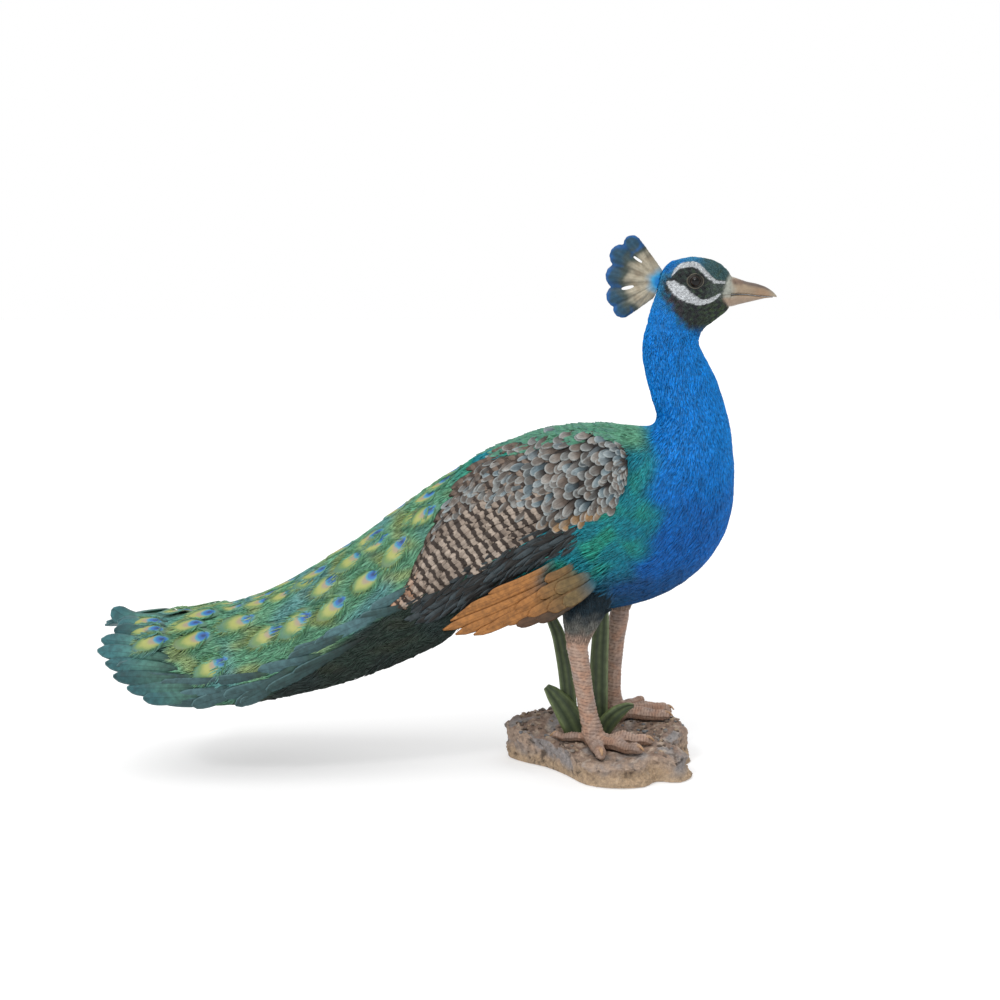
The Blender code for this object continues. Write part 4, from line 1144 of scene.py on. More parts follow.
def scale_feathers(surface, side):
    """The rounded scales of the wing's front and upper edge, which cover the roots of the barred ones."""
    rings = WING_RINGS
    share = np.linspace(0, 1, rings)
    u, v = staggered(SCALE_ROWS, wing_width, lambda at: np.interp(at, *SCALE_GAPS))
    v = v * 1.04 - 0.05 * ease(0.62, 0.4, u)
    keep = v < np.interp(u, *SCALES_REACH) + RNG.uniform(-0.1, 0.1, len(u))
    keep &= (v > -0.015) | (u > 0.15)
    u, v = np.clip(u[keep], 0, 1), v[keep]
    lengths = np.interp(u, *SCALE_LENGTHS) * RNG.uniform(0.7, 1.25, len(u))
    droop = np.interp(u, *SCALE_DROOPS) + RNG.normal(0, 0.26, len(u))
    paths, ups = plate_paths(surface, side, WING_EDGES, u, v, lengths, rings, droop=droop)
    laid = surface.lies_on(paths)
    u, v, paths, ups = u[laid], v[laid], paths[laid], ups[laid]
    n = len(u)
    dark = mix("wing_dark", "wing_brown", RNG.uniform(0.0, 0.85, n))
    base = mix(dark, "wing_blue", ease(0.66, 0.9, RNG.random(n)) * 0.5)
    ochre = ease(0.82, 0.94, v) * ease(0.10, 0.18, u)
    base = mix(base, "wing_ochre", 0.8 * ochre)
    tip_glow = ease(0.3, 1.0, share)[None, :, None] * 0.3 * COLOUR["wing_rim"]
    tip_glow = tip_glow * RNG.uniform(0.3, 1.6, (n, 1, 1))
    colours = np.repeat(base[:, None], rings, 1) + tip_glow * (1 - 0.7 * ochre)[:, None, None]
    half = np.interp(u, *SCALE_HALVES) * RNG.uniform(0.75, 1.2, n)
    lifts = np.linspace(-0.8, 1.0, rings) + np.outer(RNG.uniform(0.3, 1.7, n), share)
    return dict(paths=paths, ups=ups, half=half, thick=1.6, colours=colours, lifts=lifts,
                outline=round_tip(rings, 0.6, 0.5, 0.3), tilt=side * RNG.uniform(-1.3, 0.6, n),
                marks=0.6 * ease(0.34, 0.6, u) * RNG.random(n))


def secondary_feathers(surface, side):
    """Dark, hair-edged feathers below the wing."""
    rings, width, gap = SECONDARY_RINGS, 46.0, 6.5
    u, v = staggered(np.linspace(-0.02, 0.94, 20), lambda at: width, lambda at: gap)
    u, v, n = np.clip(u, 0, 1), v * 1.06 - 0.06, len(u)
    lengths = RNG.uniform(20, 40, n)
    paths, ups = plate_paths(surface, side, SECONDARY_EDGES, u, v, lengths, rings,
                             droop=RNG.normal(0.16, 0.12, n))
    base = mix("secondary", "secondary_rim", 0.5 * RNG.random(n) ** 2)
    return dict(paths=paths, ups=ups, half=RNG.uniform(2.2, 4.2, n), thick=1.2,
                lifts=np.outer(RNG.uniform(0.4, 1.5, n), np.linspace(0, 2.2, rings)) - 0.8,
                outline=round_tip(rings, 0.55), colours=np.repeat(base[:, None], rings, 1),
                tilt=side * RNG.uniform(-0.8, 0.3, n))


def paint_along(painter, paths, ups):
    """The painter's colour at every point of each path."""
    return np.stack([painter(paths[:, j], ups[:, j]) for j in range(paths.shape[1])], 1)


def build_vanes(name, material, slot, groups, replaced=()):
    """Joins groups of large feathers into one piece, each feather with a cell of its own in the bake map."""
    total = sum(len(group["paths"]) for group in groups)
    blades, first = Blades(), 0
    for group in groups:
        count, rings = group["paths"].shape[:2]
        group["bake"] = atlas_bake(first, count, total, rings, VANE_SECTION)
        blades.add(**group)
        first += count
    return piece(blades.build(name, material), slot, *replaced)


# The orange flight feathers: root x, z, tip x, z, half width, and how far out from the flank.
PRIMARIES = [
    (-36, 260, -193, 190, 6.4, 4.5), (-40, 267, -184, 201, 6.4, 3.6), (-40, 250, -178, 184, 6.4, 2.8),
    (-44, 273, -166, 216, 6.0, 5.0), (-34, 244, -156, 183, 6.0, 1.8), (-40, 254, -140, 190, 6.0, 2.6),
    (-44, 270, -176, 208, 5.6, 4.2), (-30, 240, -120, 196, 6.4, 1.6), (-48, 277, -138, 234, 5.6, 5.6),
    (-36, 262, -106, 214, 7.0, 3.8), (-24, 250, -90, 206, 7.5, 2.8), (-18, 268, -80, 230, 8.5, 5.0),
    (-8, 252, -66, 213, 8.5, 4.0), (-4, 264, -58, 238, 9.5, 5.8), (0, 254, -48, 221, 9.0, 5.0),
    (-26, 274, -70, 250, 7.5, 5.4),
]
# Dark brown feathers that show below them.
LOW_PRIMARIES = [
    (-40, 226, -104, 194, 6.5, 0.6), (-30, 224, -80, 200, 6.5, 0.2), (-20, 232, -60, 212, 6.5, 1.0),
]


FLANK_OUT = ([-190, -100, -60, -18], [84, 80, 77, 70])  # x, and how far out the flank reaches there


def primary_feathers(surface, side):
    """The fan of orange feathers, whose roots sink into the flank and take its colour."""
    rings, sag, root_depth, least_out = PRIMARY_RINGS, 4.0, 5.0, 5.5
    t = np.linspace(0, 1, rings)
    table = np.array(PRIMARIES + LOW_PRIMARIES, float)
    root_x, root_z, tip_x, tip_z, half, outward_by = (column[:, None] for column in table.T)
    x = root_x + (tip_x - root_x) * t
    z = root_z + (tip_z - root_z) * t - np.sin(t * math.pi) * sag
    flank = surface.seen_from(side, x[:, 0], z[:, 0])[0][:, 1] * side
    clear = np.interp(x, *FLANK_OUT) + outward_by
    sunk = (flank - root_depth)[:, None]
    out = sunk + (np.maximum(clear, sunk + least_out) - sunk) * ease(0.0, 0.3, t)
    paths = np.stack([x, side * out, z], 2)
    ups = unit(np.broadcast_to(np.array([0.0, side, -0.18]), paths.shape))
    everywhere = np.ones_like(x)
    low = np.arange(len(table))[:, None] >= len(PRIMARIES)
    colour = mix("orange", "orange_olive", ease(-98, -42, x))
    colour = mix(colour, "orange_deep", 0.3 * RNG.random((len(table), 1)) * everywhere)
    colour = mix(colour, "orange_dark", 0.85 * low * everywhere)
    flank_paint = paint_along(paint_body, paths, ups)
    colour = mix(flank_paint, colour, ease(0.03, 0.36, t)[None, :] * everywhere * ease(2, -34, x))
    return dict(paths=paths, ups=ups, half=half[:, 0] * 1.08, thick=1.5, lifts=np.linspace(-0.6, 0.6, rings),
                outline=round_tip(rings, 0.8, 0.4), colours=colour, tilt=-side * 0.9)


# ---------------------------------------------------------------- the train
OCELLUS_LENGTH, OCELLUS_HALF = 48.0, 13.4
# Rings of an eye feather: centre along it, half width, half length, share where it fades, colour.
OCELLUS_RINGS = [
    (29.5, 13.0, 20.5, 0.70, 1.15, "64844c"),
    (28.2, 10.6, 17.4, 0.50, 1.08, "9ea35a"),
    (23.4, 7.0, 10.4, 0.50, 1.10, "9a8c76"),
    (16.4, 7.6, 9.6, 0.78, 1.12, "4591a6"),
    (15.6, 6.2, 7.9, 0.70, 1.08, "2a66ab"),
    (15.0, 3.3, 4.6, 0.25, 1.2, "19386a"),
]
BLUE_AT = 15.0  # how far along an eye feather its blue spot is
# Eye feathers on the train's sides: x, z of the blue spot, degrees below level that it points, size.
OCELLI = [
    (-220, 351, 48, 0.85), (-217, 331, 49, 0.95), (-278, 307, 44, 0.85), (-265, 295, 47, 0.85),
    (-245, 290, 64, 1.05), (-297, 274, 53, 1.10), (-278, 254, 48, 0.90), (-349, 248, 42, 1.05),
    (-329, 245, 53, 0.95), (-379, 229, 40, 0.85), (-319, 222, 47, 1.00), (-362, 202, 47, 1.10),
    (-397, 187, 38, 1.05), (-435, 196, 33, 1.15), (-463, 152, 38, 1.10), (-487, 176, 29, 1.05),
    (-539, 169, 29, 1.00), (-545, 178, 19, 0.85), (-495, 187, 15, 0.85), (-441, 207, 20, 0.80),
    (-405, 222, 25, 0.75), (-190, 368, 45, 0.75),
]


# Cross sections of the train: x, z of the ridge, x, z of the lower edge, half width.
TRAIN_SECTIONS = [
    (-152, 394, -114, 262, 77), (-206, 358, -159, 202, 83), (-266, 315, -219, 160, 95),
    (-300, 290, -256, 145, 100), (-380, 239, -352, 117, 110), (-420, 219, -400, 107, 114),
    (-460, 206, -448, 101, 116), (-500, 196, -494, 100, 113), (-538, 190, -534, 105, 103),
    (-570, 188, -566, 118, 88), (-596, 185, -592, 134, 66), (-625, 183, -621, 150, 44),
]
# The rows of eye feathers along the ridge, and how they vary along it: degrees below level, and size.
RIDGE_ROWS = np.arange(-176, -560, -34)
RIDGE_SLOPES = ([170, 300, 400, 560], [38, 36, 22, 2])
RIDGE_SIZES = ([170, 300, 560], [0.7, 0.9, 0.9])
RIDGE_TURN, SIDE_SIZE, LEFT_SHIFT = 16.0, 1.12, 6


def train_frame(x, degrees):
    """A place above the train at a ridge x and an angle round the arch, and the way out there."""
    ridge_x = np.asarray(x, float)
    zero = 0 * ridge_x
    table = np.array(TRAIN_SECTIONS, float)
    ridge_z, edge_x, edge_z, half = (np.interp(-ridge_x, -table[:, 0], column) for column in table.T[1:])
    edge = np.stack([edge_x, zero, edge_z], -1)
    rise = np.stack([ridge_x, zero, ridge_z], -1) - edge
    cos, sin = (f(np.radians(degrees))[..., None] for f in (np.cos, np.sin))
    place = edge + rise * cos + np.stack([zero, half, zero], -1) * sin
    return place, unit(unit(rise) * cos + np.array([0, 1.0, 0]) * sin)


def slope(degrees):
    """The way something points in side view: towards the train's end, and down by some degrees."""
    angle = np.radians(degrees)
    return np.stack([-np.cos(angle), 0 * angle, -np.sin(angle)], 1)


def ocelli(surface):
    """Paths, ups and sizes of all the eye feathers: those of the sides, and staggered rows along the top."""
    x, z, down_by, size = np.array(OCELLI, float).T
    found = []
    for side in SIDES:
        places, up = surface.seen_from(side, x - (0 if side == RIGHT else LEFT_SHIFT), z)
        found.append((places, up, down_by, size * SIDE_SIZE))
    for i, row in enumerate(RIDGE_ROWS):
        turn = np.array([-RIDGE_TURN, RIDGE_TURN]) if i % 2 else np.array([0.0])
        ridge, outside = train_frame(np.full(len(turn), float(row)), turn)
        places, up = surface.nearest(ridge + outside * 6)
        found.append((places, up, *(np.full(len(turn), np.interp(-row, *table))
                                    for table in (RIDGE_SLOPES, RIDGE_SIZES))))
    spots, normals, degrees, sizes = (np.concatenate(column) for column in zip(*found))
    aim = slope(degrees)
    back, ups = surface.trace(spots, normals, lambda p, m: -aim, BLUE_AT * sizes, 4)
    paths, ups = surface.trace(back[:, -1], ups[:, -1], lambda p, m: aim.copy(), OCELLUS_LENGTH * sizes, 10)
    return paths, unit(smooth_rows(ups)), sizes


# How far the eye feathers near the train's end are raised over its tips, and the share of that on the left.
OVER_TIPS, OVER_TIPS_LEFT = 5.2, 0.25


def make_ocelli(surface):
    """The eye feathers as one piece; gives back the barbs round them."""
    paths, ups, sizes = ocelli(surface)
    rings = paths.shape[1]
    green = paint_along(paint_train, paths, ups)
    raised = OVER_TIPS * ease(-455, -480, paths[:, 0, 0])
    raised = raised * np.where(paths[:, 0, 1] * RIGHT > 0, 1.0, OVER_TIPS_LEFT)
    lifts = np.linspace(-0.4, 1.6, rings) + np.outer(raised, ease(0.0, 0.4, np.linspace(0, 1, rings)))
    # The blades under the barbs take the train's paint darkened, as painted shade like that between the
    # coat's strokes.
    group = dict(paths=paths, ups=ups, half=OCELLUS_HALF * sizes, thick=1.1, lifts=lifts,
                 outline=round_tip(rings, 0.45, 0.45, 0.1), colours=green * 0.6, wrap=100.0)
    build_vanes("train_eyes", ocellus_material(), "green", [group])
    return eye_barbs(surface, paths, ups, sizes, raised)


BARBS_PER_EYE = 56
BARB_OVAL = (16.8, 9.4)  # half length and half width of the line round an eye feather where barbs start


def eye_barbs(surface, paths, ups, sizes, raised):
    """Loose barbs that start round the edge of each eye feather and trail away from it."""
    n, rings = len(sizes), 4
    turn = np.radians(np.linspace(-165, 165, BARBS_PER_EYE))[None, :]
    turn = turn + RNG.normal(0, 0.06, (n, BARBS_PER_EYE))
    middle, up = paths[:, 5], ups[:, 5]
    along = unit(paths[:, 7] - paths[:, 3])
    across = np.cross(up, along)
    long_way = (np.cos(turn) * BARB_OVAL[0] * sizes[:, None])[..., None]
    wide_way = (np.sin(turn) * BARB_OVAL[1] * sizes[:, None])[..., None]
    roots = middle[:, None] + along[:, None] * long_way + across[:, None] * wide_way
    aim = along[:, None] * (1.0 + 0.9 * np.cos(turn))[..., None]
    aim = aim + across[:, None] * (1.1 * np.sin(turn))[..., None]
    roots, aim = roots.reshape(-1, 3), unit(aim.reshape(-1, 3))
    roots, normals = surface.nearest(roots)
    bends = iter([0.0, 0.35, 0.6])

    def heading(points, normal):
        return mix(aim, flow(points, normal), np.full(len(points), next(bends)))

    lengths = np.repeat(sizes, BARBS_PER_EYE) * RNG.uniform(9, 17, len(roots))
    trail, trail_ups = surface.trace(roots, normals, heading, lengths, rings)
    ahead = np.cos(turn).ravel()
    start = mix("eye_green", "eye_yellow", ease(-0.2, 0.8, ahead))
    end = paint_along(paint_train, trail, trail_ups)
    fade = np.broadcast_to(ease(-0.1, 0.75, np.linspace(0, 1, rings)), end.shape[:2])
    colours = mix(start[:, None], end, fade) * RNG.uniform(0.7, 1.25, (len(roots), 1, 1))
    return dict(paths=trail, ups=trail_ups, half=RNG.uniform(0.4, 0.7, len(roots)),
                thick=RNG.uniform(0.5, 0.8, len(roots)),
                lifts=np.array([1.3, 2.1, 2.3, 1.4]) + np.repeat(raised, BARBS_PER_EYE)[:, None],
                outline=np.array([0.7, 1.0, 0.8, 0.15]), section=TUFT_SECTION, colours=colours,
                bake=tuft_bake(roots, along_spine, rings, TUFT_SECTION), taper=[0.8, 1.0, 0.8, 0.3])


# Long feathers that show at the train's lower sides: root x, z, tip x, z, half width, how pale.
LONG_FEATHERS = [
    (-242, 219, -297, 205, 4.5, 0.3), (-235, 240, -284, 213, 5.3, 0.9), (-296, 200, -352, 172, 4.6, 0.3),
    (-273, 209, -342, 179, 6.2, 1.0), (-318, 184, -384, 156, 5.0, 0.3), (-333, 180, -376, 166, 4.3, 0.6),
    (-329, 160, -412, 118, 5.0, 0.1), (-300, 176, -380, 138, 4.5, 0.0), (-375, 146, -448, 100, 6.2, 0.2),
    (-350, 159, -421, 142, 6.0, 0.95), (-389, 134, -462, 113, 6.4, 0.4), (-400, 122, -440, 105, 5.0, 0.3),
    (-411, 140, -478, 131, 4.8, 0.5), (-436, 124, -500, 101, 6.4, 0.45), (-460, 121, -516, 110, 7.2, 0.7),
    (-450, 134, -541, 126, 5.0, 0.6), (-478, 108, -548, 110, 6.2, 0.4), (-494, 114, -566, 122, 7.0, 0.6),
    (-500, 134, -569, 130, 6.4, 0.5), (-520, 122, -592, 136, 7.0, 0.5), (-530, 146, -596, 143, 6.0, 0.6),
]


def long_feathers(surface):
    rings = 12
    t = np.linspace(0, 1, rings)
    table = np.array(LONG_FEATHERS, float)
    groups = []
    for side in SIDES:
        longer = t * 1.3 - 0.3
        x = table[:, 0:1] + (table[:, 2:3] - table[:, 0:1]) * longer
        z = table[:, 1:2] + (table[:, 3:4] - table[:, 1:2]) * longer - 2.5 * np.sin(t * math.pi)
        places, normals = surface.seen_from(side, x.ravel(), z.ravel())
        places, normals = places.reshape(len(table), rings, 3), normals.reshape(len(table), rings, 3)
        for _ in range(3):
            places, normals = smooth_rows(places) / 4, unit(smooth_rows(normals))
        normals = unit(normals + np.array([0.0, 0.8 * side, 0.0]))
        pale = (table[:, 5] * RNG.uniform(0.5, 0.9, len(table)))[:, None] * np.ones((1, rings))
        colour = mix("edge_dark", "edge_pale", np.clip(pale, 0, 1))
        # Painted shade: the roots take the train's paint darkened, where the coat covers them.
        root = paint_along(paint_train, places, normals) * 0.6
        colours = mix(root, colour, ease(0.05, 0.4, t)[None, :] * np.ones_like(pale))
        groups.append(dict(paths=places, ups=normals, half=table[:, 4] * 1.35, thick=1.6, colours=colours,
                           lifts=np.interp(t, [0, 0.25, 1], [-1.6, 1.2, 2.6]), tilt=-side * 0.8,
                           outline=round_tip(rings, 0.72, 0.35)))
    return groups


# Ends of the train: root x, z, the x, y, z of the tip, half width.
TIPS = [
    (-474, 114, -556, -99, 107, 9.5), (-488, 123, -577, -88, 117, 10), (-502, 132, -595, -80, 130, 10),
    (-514, 142, -606, -71, 144, 10), (-525, 153, -617, -62, 158, 10.5), (-530, 163, -614, -51, 169, 10.5),
    (-530, 173, -600, -40, 179, 10.5), (-534, 182, -598, -27, 182, 10.5),
    (-536, 186, -600, -13, 185, 10.5), (-474, 114, -542, 102, 104, 11), (-488, 123, -566, 95, 117, 11.5),
    (-502, 134, -590, 86, 131, 12), (-512, 145, -610, 77, 150, 12), (-520, 157, -622, 67, 167, 12),
    (-526, 167, -628, 55, 168, 12), (-528, 176, -627, 42, 167, 12), (-530, 183, -614, 30, 175, 12),
    (-536, 186, -606, 19, 181, 11),
]
TOP_TIP = [(-518, 4, 191), (-552, 5, 185), (-580, 7, 181), (-600, 8, 187), (-611, 9, 197)]


def tip_feathers(surface):
    """Overlapping round feathers past the end of the train, and the one at the top that curls up."""
    rings = 16
    t = np.linspace(0, 1, rings)
    share = t[None, :, None]
    table = np.array(TIPS, float)
    groups = []
    for side in SIDES:
        rows = table[np.sign(table[:, 3]) == side]
        root, normal = surface.seen_from(side, rows[:, 0], rows[:, 1])
        middle, over = surface.seen_from(side, rows[:, 0] - 38, rows[:, 1] * 0.55 + rows[:, 4] * 0.45)
        middle = middle + over * 1.5
        tip = rows[:, 2:5]
        paths = root[:, None] * (1 - share) ** 2 + middle[:, None] * 2 * share * (1 - share)
        paths = paths + tip[:, None] * share**2
        out = ease(0, 40, np.abs(tip[:, 1])) + 0.1 if side == RIGHT else ease(0, 120, np.abs(tip[:, 1]))
        last = unit(np.stack([-0.1 + 0 * out, side * out, 0.55 + 0 * out], 1))
        ups = unit(normal[:, None] * (1 - share) + last[:, None] * share)
        groups.append(tip_group(paths, ups, rows[:, 5], -side * 0.9 * ease(15, 60, np.abs(tip[:, 1])), 1.8))
    spine = np.array(TOP_TIP, float)
    curl = np.stack([np.interp(t, np.linspace(0, 1, len(spine)), spine[:, i]) for i in range(3)], 1)[None]
    for _ in range(3):
        inner = smooth_rows(curl) / 4
        inner[:, [0, -1]] = curl[:, [0, -1]]
        curl = inner
    ups = np.broadcast_to(unit(np.array([-0.15, -0.62, 0.75])), curl.shape)
    groups.append(tip_group(curl, ups, np.array([13.0]), 0.0, 0.0))
    return groups


def tip_group(paths, ups, half, tilt, lift):
    n, rings = paths.shape[:2]
    share = np.linspace(0, 1, rings)
    # Painted shade: the roots take a darkened copy of the train's green, and the tips turn teal.
    green = np.broadcast_to(mix("train_green", "train_teal", 0.4) * 0.75, paths.shape)
    blue = np.broadcast_to(COLOUR["tip_teal"], paths.shape)
    colours = mix(green, blue, ease(0.3, 0.9, share)[None, :] * np.ones((n, 1)))
    colours = colours * RNG.uniform(0.6, 1.1, (n, 1, 1))
    return dict(paths=paths, ups=ups, half=half, thick=2.4, outline=round_tip(rings, 0.74, 0.4, 0.2),
                lifts=np.interp(share, [0, 0.2, 1], [-1.2 * (lift > 0), lift, lift]), colours=colours,
                taper=np.interp(share, [0, 0.6, 1], [1, 1, 0.6]), tilt=tilt)


TAIL_FEATHERS = 11
TAIL_SPREAD = ([0, 0.5, 0.85, 1], [34, 54, 58, 52])  # half width of the fan at shares of its length
TAIL_HEIGHTS = ([-390, -315, -215, -114], [149, 163, 182, 193])  # at x


def tail_feathers():
    """The true tail below the train: dark stiff feathers in a shallow fan."""
    rings = 10
    t = np.linspace(0, 1, rings)
    spread = np.linspace(-1, 1, TAIL_FEATHERS)
    x = -120 - (262 - 40 * spread[:, None] ** 2) * t
    y = spread[:, None] * np.interp(t, *TAIL_SPREAD)
    z = np.interp(x, *TAIL_HEIGHTS) + 1.5 * np.cos(spread[:, None] * 7)
    paths = np.stack([x, y, z], 2)
    ups = np.zeros_like(paths)
    ups[..., 2] = 1.0
    ups[..., 1] = 0.15 * spread[:, None]
    colours = np.broadcast_to(COLOUR["tail"], paths.shape) * RNG.uniform(0.8, 1.4, (TAIL_FEATHERS, 1, 1))
    return dict(paths=paths, ups=unit(ups), half=9.5, thick=3.0, lifts=np.zeros(rings),
                outline=round_tip(rings, 0.82, 0.6), colours=colours)


# ---------------------------------------------------------------- mantle scales between the wings
# The mantle lies above this z and behind this x, where the back faces up by this much or more.
MANTLE_ABOVE, MANTLE_BEHIND, MANTLE_UP, MANTLE_PER_CM2 = 398, 28, 0.35, 1.9


def mantle_feathers(surface, nodes):
    """Small rounded green scales down the back."""
    x, _, z = surface.centres.T
    chosen = (nodes == "trunk") & (z > MANTLE_ABOVE) & (x < MANTLE_BEHIND)
    chosen &= surface.face_normals[:, 2] > MANTLE_UP
    roots, normals = surface.scatter(chosen, MANTLE_PER_CM2)
    n, rings = len(roots), 7
    paths, ups = surface.trace(roots, normals, flow, RNG.uniform(13, 18, n), rings)
    base = mix("mantle", "deep_green", RNG.uniform(0, 0.6, n))
    colours = np.repeat(base[:, None], rings, 1)
    return dict(paths=paths, ups=ups, half=RNG.uniform(4.0, 5.6, n), thick=1.2,
                lifts=np.linspace(-0.8, 1.7, rings), outline=round_tip(rings, 0.5), colours=colours)


# ---------------------------------------------------------------- head furniture
def lathe_grid(rows):
    """Triangles of a closed tube through equal rings of points, capped at both ends. rows is (r, c, 3)."""
    r, c, _ = rows.shape
    grid = np.arange(r * c).reshape(r, c)
    following = np.roll(grid, -1, axis=1)
    tris = [np.stack([grid[:-1], following[:-1], following[1:]], -1).reshape(-1, 3),
            np.stack([grid[:-1], following[1:], grid[1:]], -1).reshape(-1, 3)]
    for i in range(1, c - 1):
        tris.append(np.array([[grid[0, 0], grid[0, i + 1], grid[0, i]],
                              [grid[-1, 0], grid[-1, i], grid[-1, i + 1]]]))
    verts = rows.reshape(-1, 3)
    return verts, outward(verts, np.concatenate(tris))


def bill_half(name, upper):
    """The upper or the lower half of the bill, with the nostril and a dark line where the halves meet."""
    sides, rows, overbite, parting = 28, 60, 5.0, 0.12
    x = np.linspace(BILL_TABLE[0, 0], BILL_TABLE[-1, 0] - (0 if upper else overbite), rows)
    lines = np.array([np.interp(x, BILL_TABLE[:, 0], column) for column in BILL_TABLE.T[1:]])
    for _ in range(6):
        lines[:, 1:-1] = (lines[:, :-2] + 2 * lines[:, 1:-1] + lines[:, 2:]) / 4
    top, mouth, bottom, half = lines
    turn = np.linspace(0, 2 * math.pi, sides, endpoint=False)
    high, low = (top, mouth + parting) if upper else (mouth - parting, bottom)
    above, below = (0.82, 0.18) if upper else (0.2, 0.8)
    widest = low + (high - low) * below
    reach = (high - low)[:, None] * np.where(np.cos(turn) > 0, above, below)
    z = widest[:, None] + reach * np.cos(turn)
    y = (half * (1.0 if upper else 0.93))[:, None] * np.sin(turn) * np.ones((rows, 1))
    rows_of_points = np.stack([np.broadcast_to(x[:, None], z.shape), y, z], 2)
    verts, tris = lathe_grid(rows_of_points)
    normals = point_normals(verts, tris)
    nostril = line_distance(verts[:, [0, 2]], NOSTRIL_HOLE)
    on_side = ease(2.5, 4.5, np.abs(verts[:, 1])) * (1 if upper else 0)
    hole = ease(1.3, 0.5, nostril) * on_side
    verts = verts - normals * (1.1 * hole)[:, None]
    seam = np.exp(-((verts[:, 2] - np.interp(verts[:, 0], x, mouth)) / 0.55) ** 2)
    colour = mix(bill_skin(verts), "bill_shadow", 0.7 * seam * ease(214, 206, verts[:, 0]))
    colour = mix(colour, COLOUR["bill_shadow"] * 0.5, 0.8 * ease(1.0, 0.4, nostril) * on_side)
    return mesh_object(name, verts, tris, BILL_SKIN, colour)


EYE_RADIUS, CORNEA = 7.4, 0.5
LID_FLATNESS, LID_THICKNESS, LID_BULGE = 0.94, 2.6, 1.5
# Rings of the lids: how far out from the eye's middle, and how high above the head.
LID_RINGS = np.array([
    (5.7, -0.8), (6.0, 0.2), (6.5, 0.7), (7.1, 0.8), (7.6, 0.5), (8.1, 0.1), (8.6, 0.1), (9.0, 0.45),
    (9.4, 0.65), (9.9, 0.4), (10.6, -0.9),
])


def make_eye(surface, side):
    """Ball with iris and pupil, and the ringed lids round it."""
    steps, turns = 26, 56
    turn = np.linspace(0, 2 * math.pi, turns, endpoint=False)
    piece(eye_ball(side, np.linspace(0.02, math.pi - 0.02, steps), turn), "eye", f"eye_{SIDES[side]}")
    # The lids follow the head, and inside the socket they keep the depth of its rim.
    out, height = LID_RINGS.T
    almond = 1 + 0.06 * np.cos(2 * turn)
    socket_rim = 8.2
    xs, zs = lid_ring(out, almond, turn)
    sample_x, sample_z = lid_ring(np.maximum(out, socket_rim), almond, turn)
    places, _ = surface.seen_from(side, sample_x.ravel(), sample_z.ravel())
    waves = np.stack([np.ones(turns), np.cos(turn), np.sin(turn), np.cos(2 * turn), np.sin(2 * turn)], 1)
    depth = places[:, 1].reshape(sample_x.shape)
    depth = (waves @ np.linalg.lstsq(waves, depth.T, rcond=None)[0]).T
    bulge = side * LID_BULGE * (1 - ease(5.5, 9.0, out))[:, None]
    outer = np.stack([xs, depth + bulge + side * height[:, None], zs], 2)
    inner = outer[::-1] - np.array([0, side * LID_THICKNESS, 0])
    verts, tris = lathe_grid(np.concatenate([outer, inner, outer[:1]]))
    rim = np.concatenate([out, out[::-1], out[:1]]).repeat(turns)
    # Painted shade: the lids darker where they turn in towards the ball.
    colour = mix(COLOUR["lid"] * 0.6, "lid", ease(6.0, 7.6, rim))
    colour = mix(colour, "lid_rim", 0.9 * ease(8.9, 9.3, rim) * ease(10.3, 9.9, rim))
    piece(mesh_object(f"eyelids_{SIDES[side]}", verts, tris, LID_SKIN, colour), "teal")


def lid_ring(out, almond, turn):
    """x and z of rings round the eye."""
    return (EYE[0] + out[:, None] * almond * np.cos(turn),
            EYE[1] + LID_FLATNESS * out[:, None] * np.sin(turn))


def eye_ball(side, polar, turn):
    """A ball with a slight bulge over the pupil; polar is the angle from the way the eye looks."""
    centre = np.array([EYE[0], side * EYE_DEPTH, EYE[1]])
    radius = EYE_RADIUS + CORNEA * ease(0.62, 0.0, polar)
    ring = np.stack([np.sin(polar)[:, None] * np.cos(turn), side * np.cos(polar)[:, None] + 0 * turn,
                     np.sin(polar)[:, None] * np.sin(turn)], 2)
    verts, tris = lathe_grid(centre + ring * radius[:, None, None])
    from_axis = np.repeat(polar, len(turn))
    colour = mix("pupil", "iris", ease(0.70, 0.76, from_axis))
    colour = mix(colour, "pupil", ease(0.84, 0.94, from_axis))
    return mesh_object(f"eyeball_{SIDES[side]}", verts, tris, EYE_GLASS, colour)


CREST_ROOT = np.array([72.0, 606.0])
CREST_LOBES = [(38, 652, 11.5), (25, 637, 15.5), (22, 613, 17), (21, 589, 15), (27, 574, 12.5)]


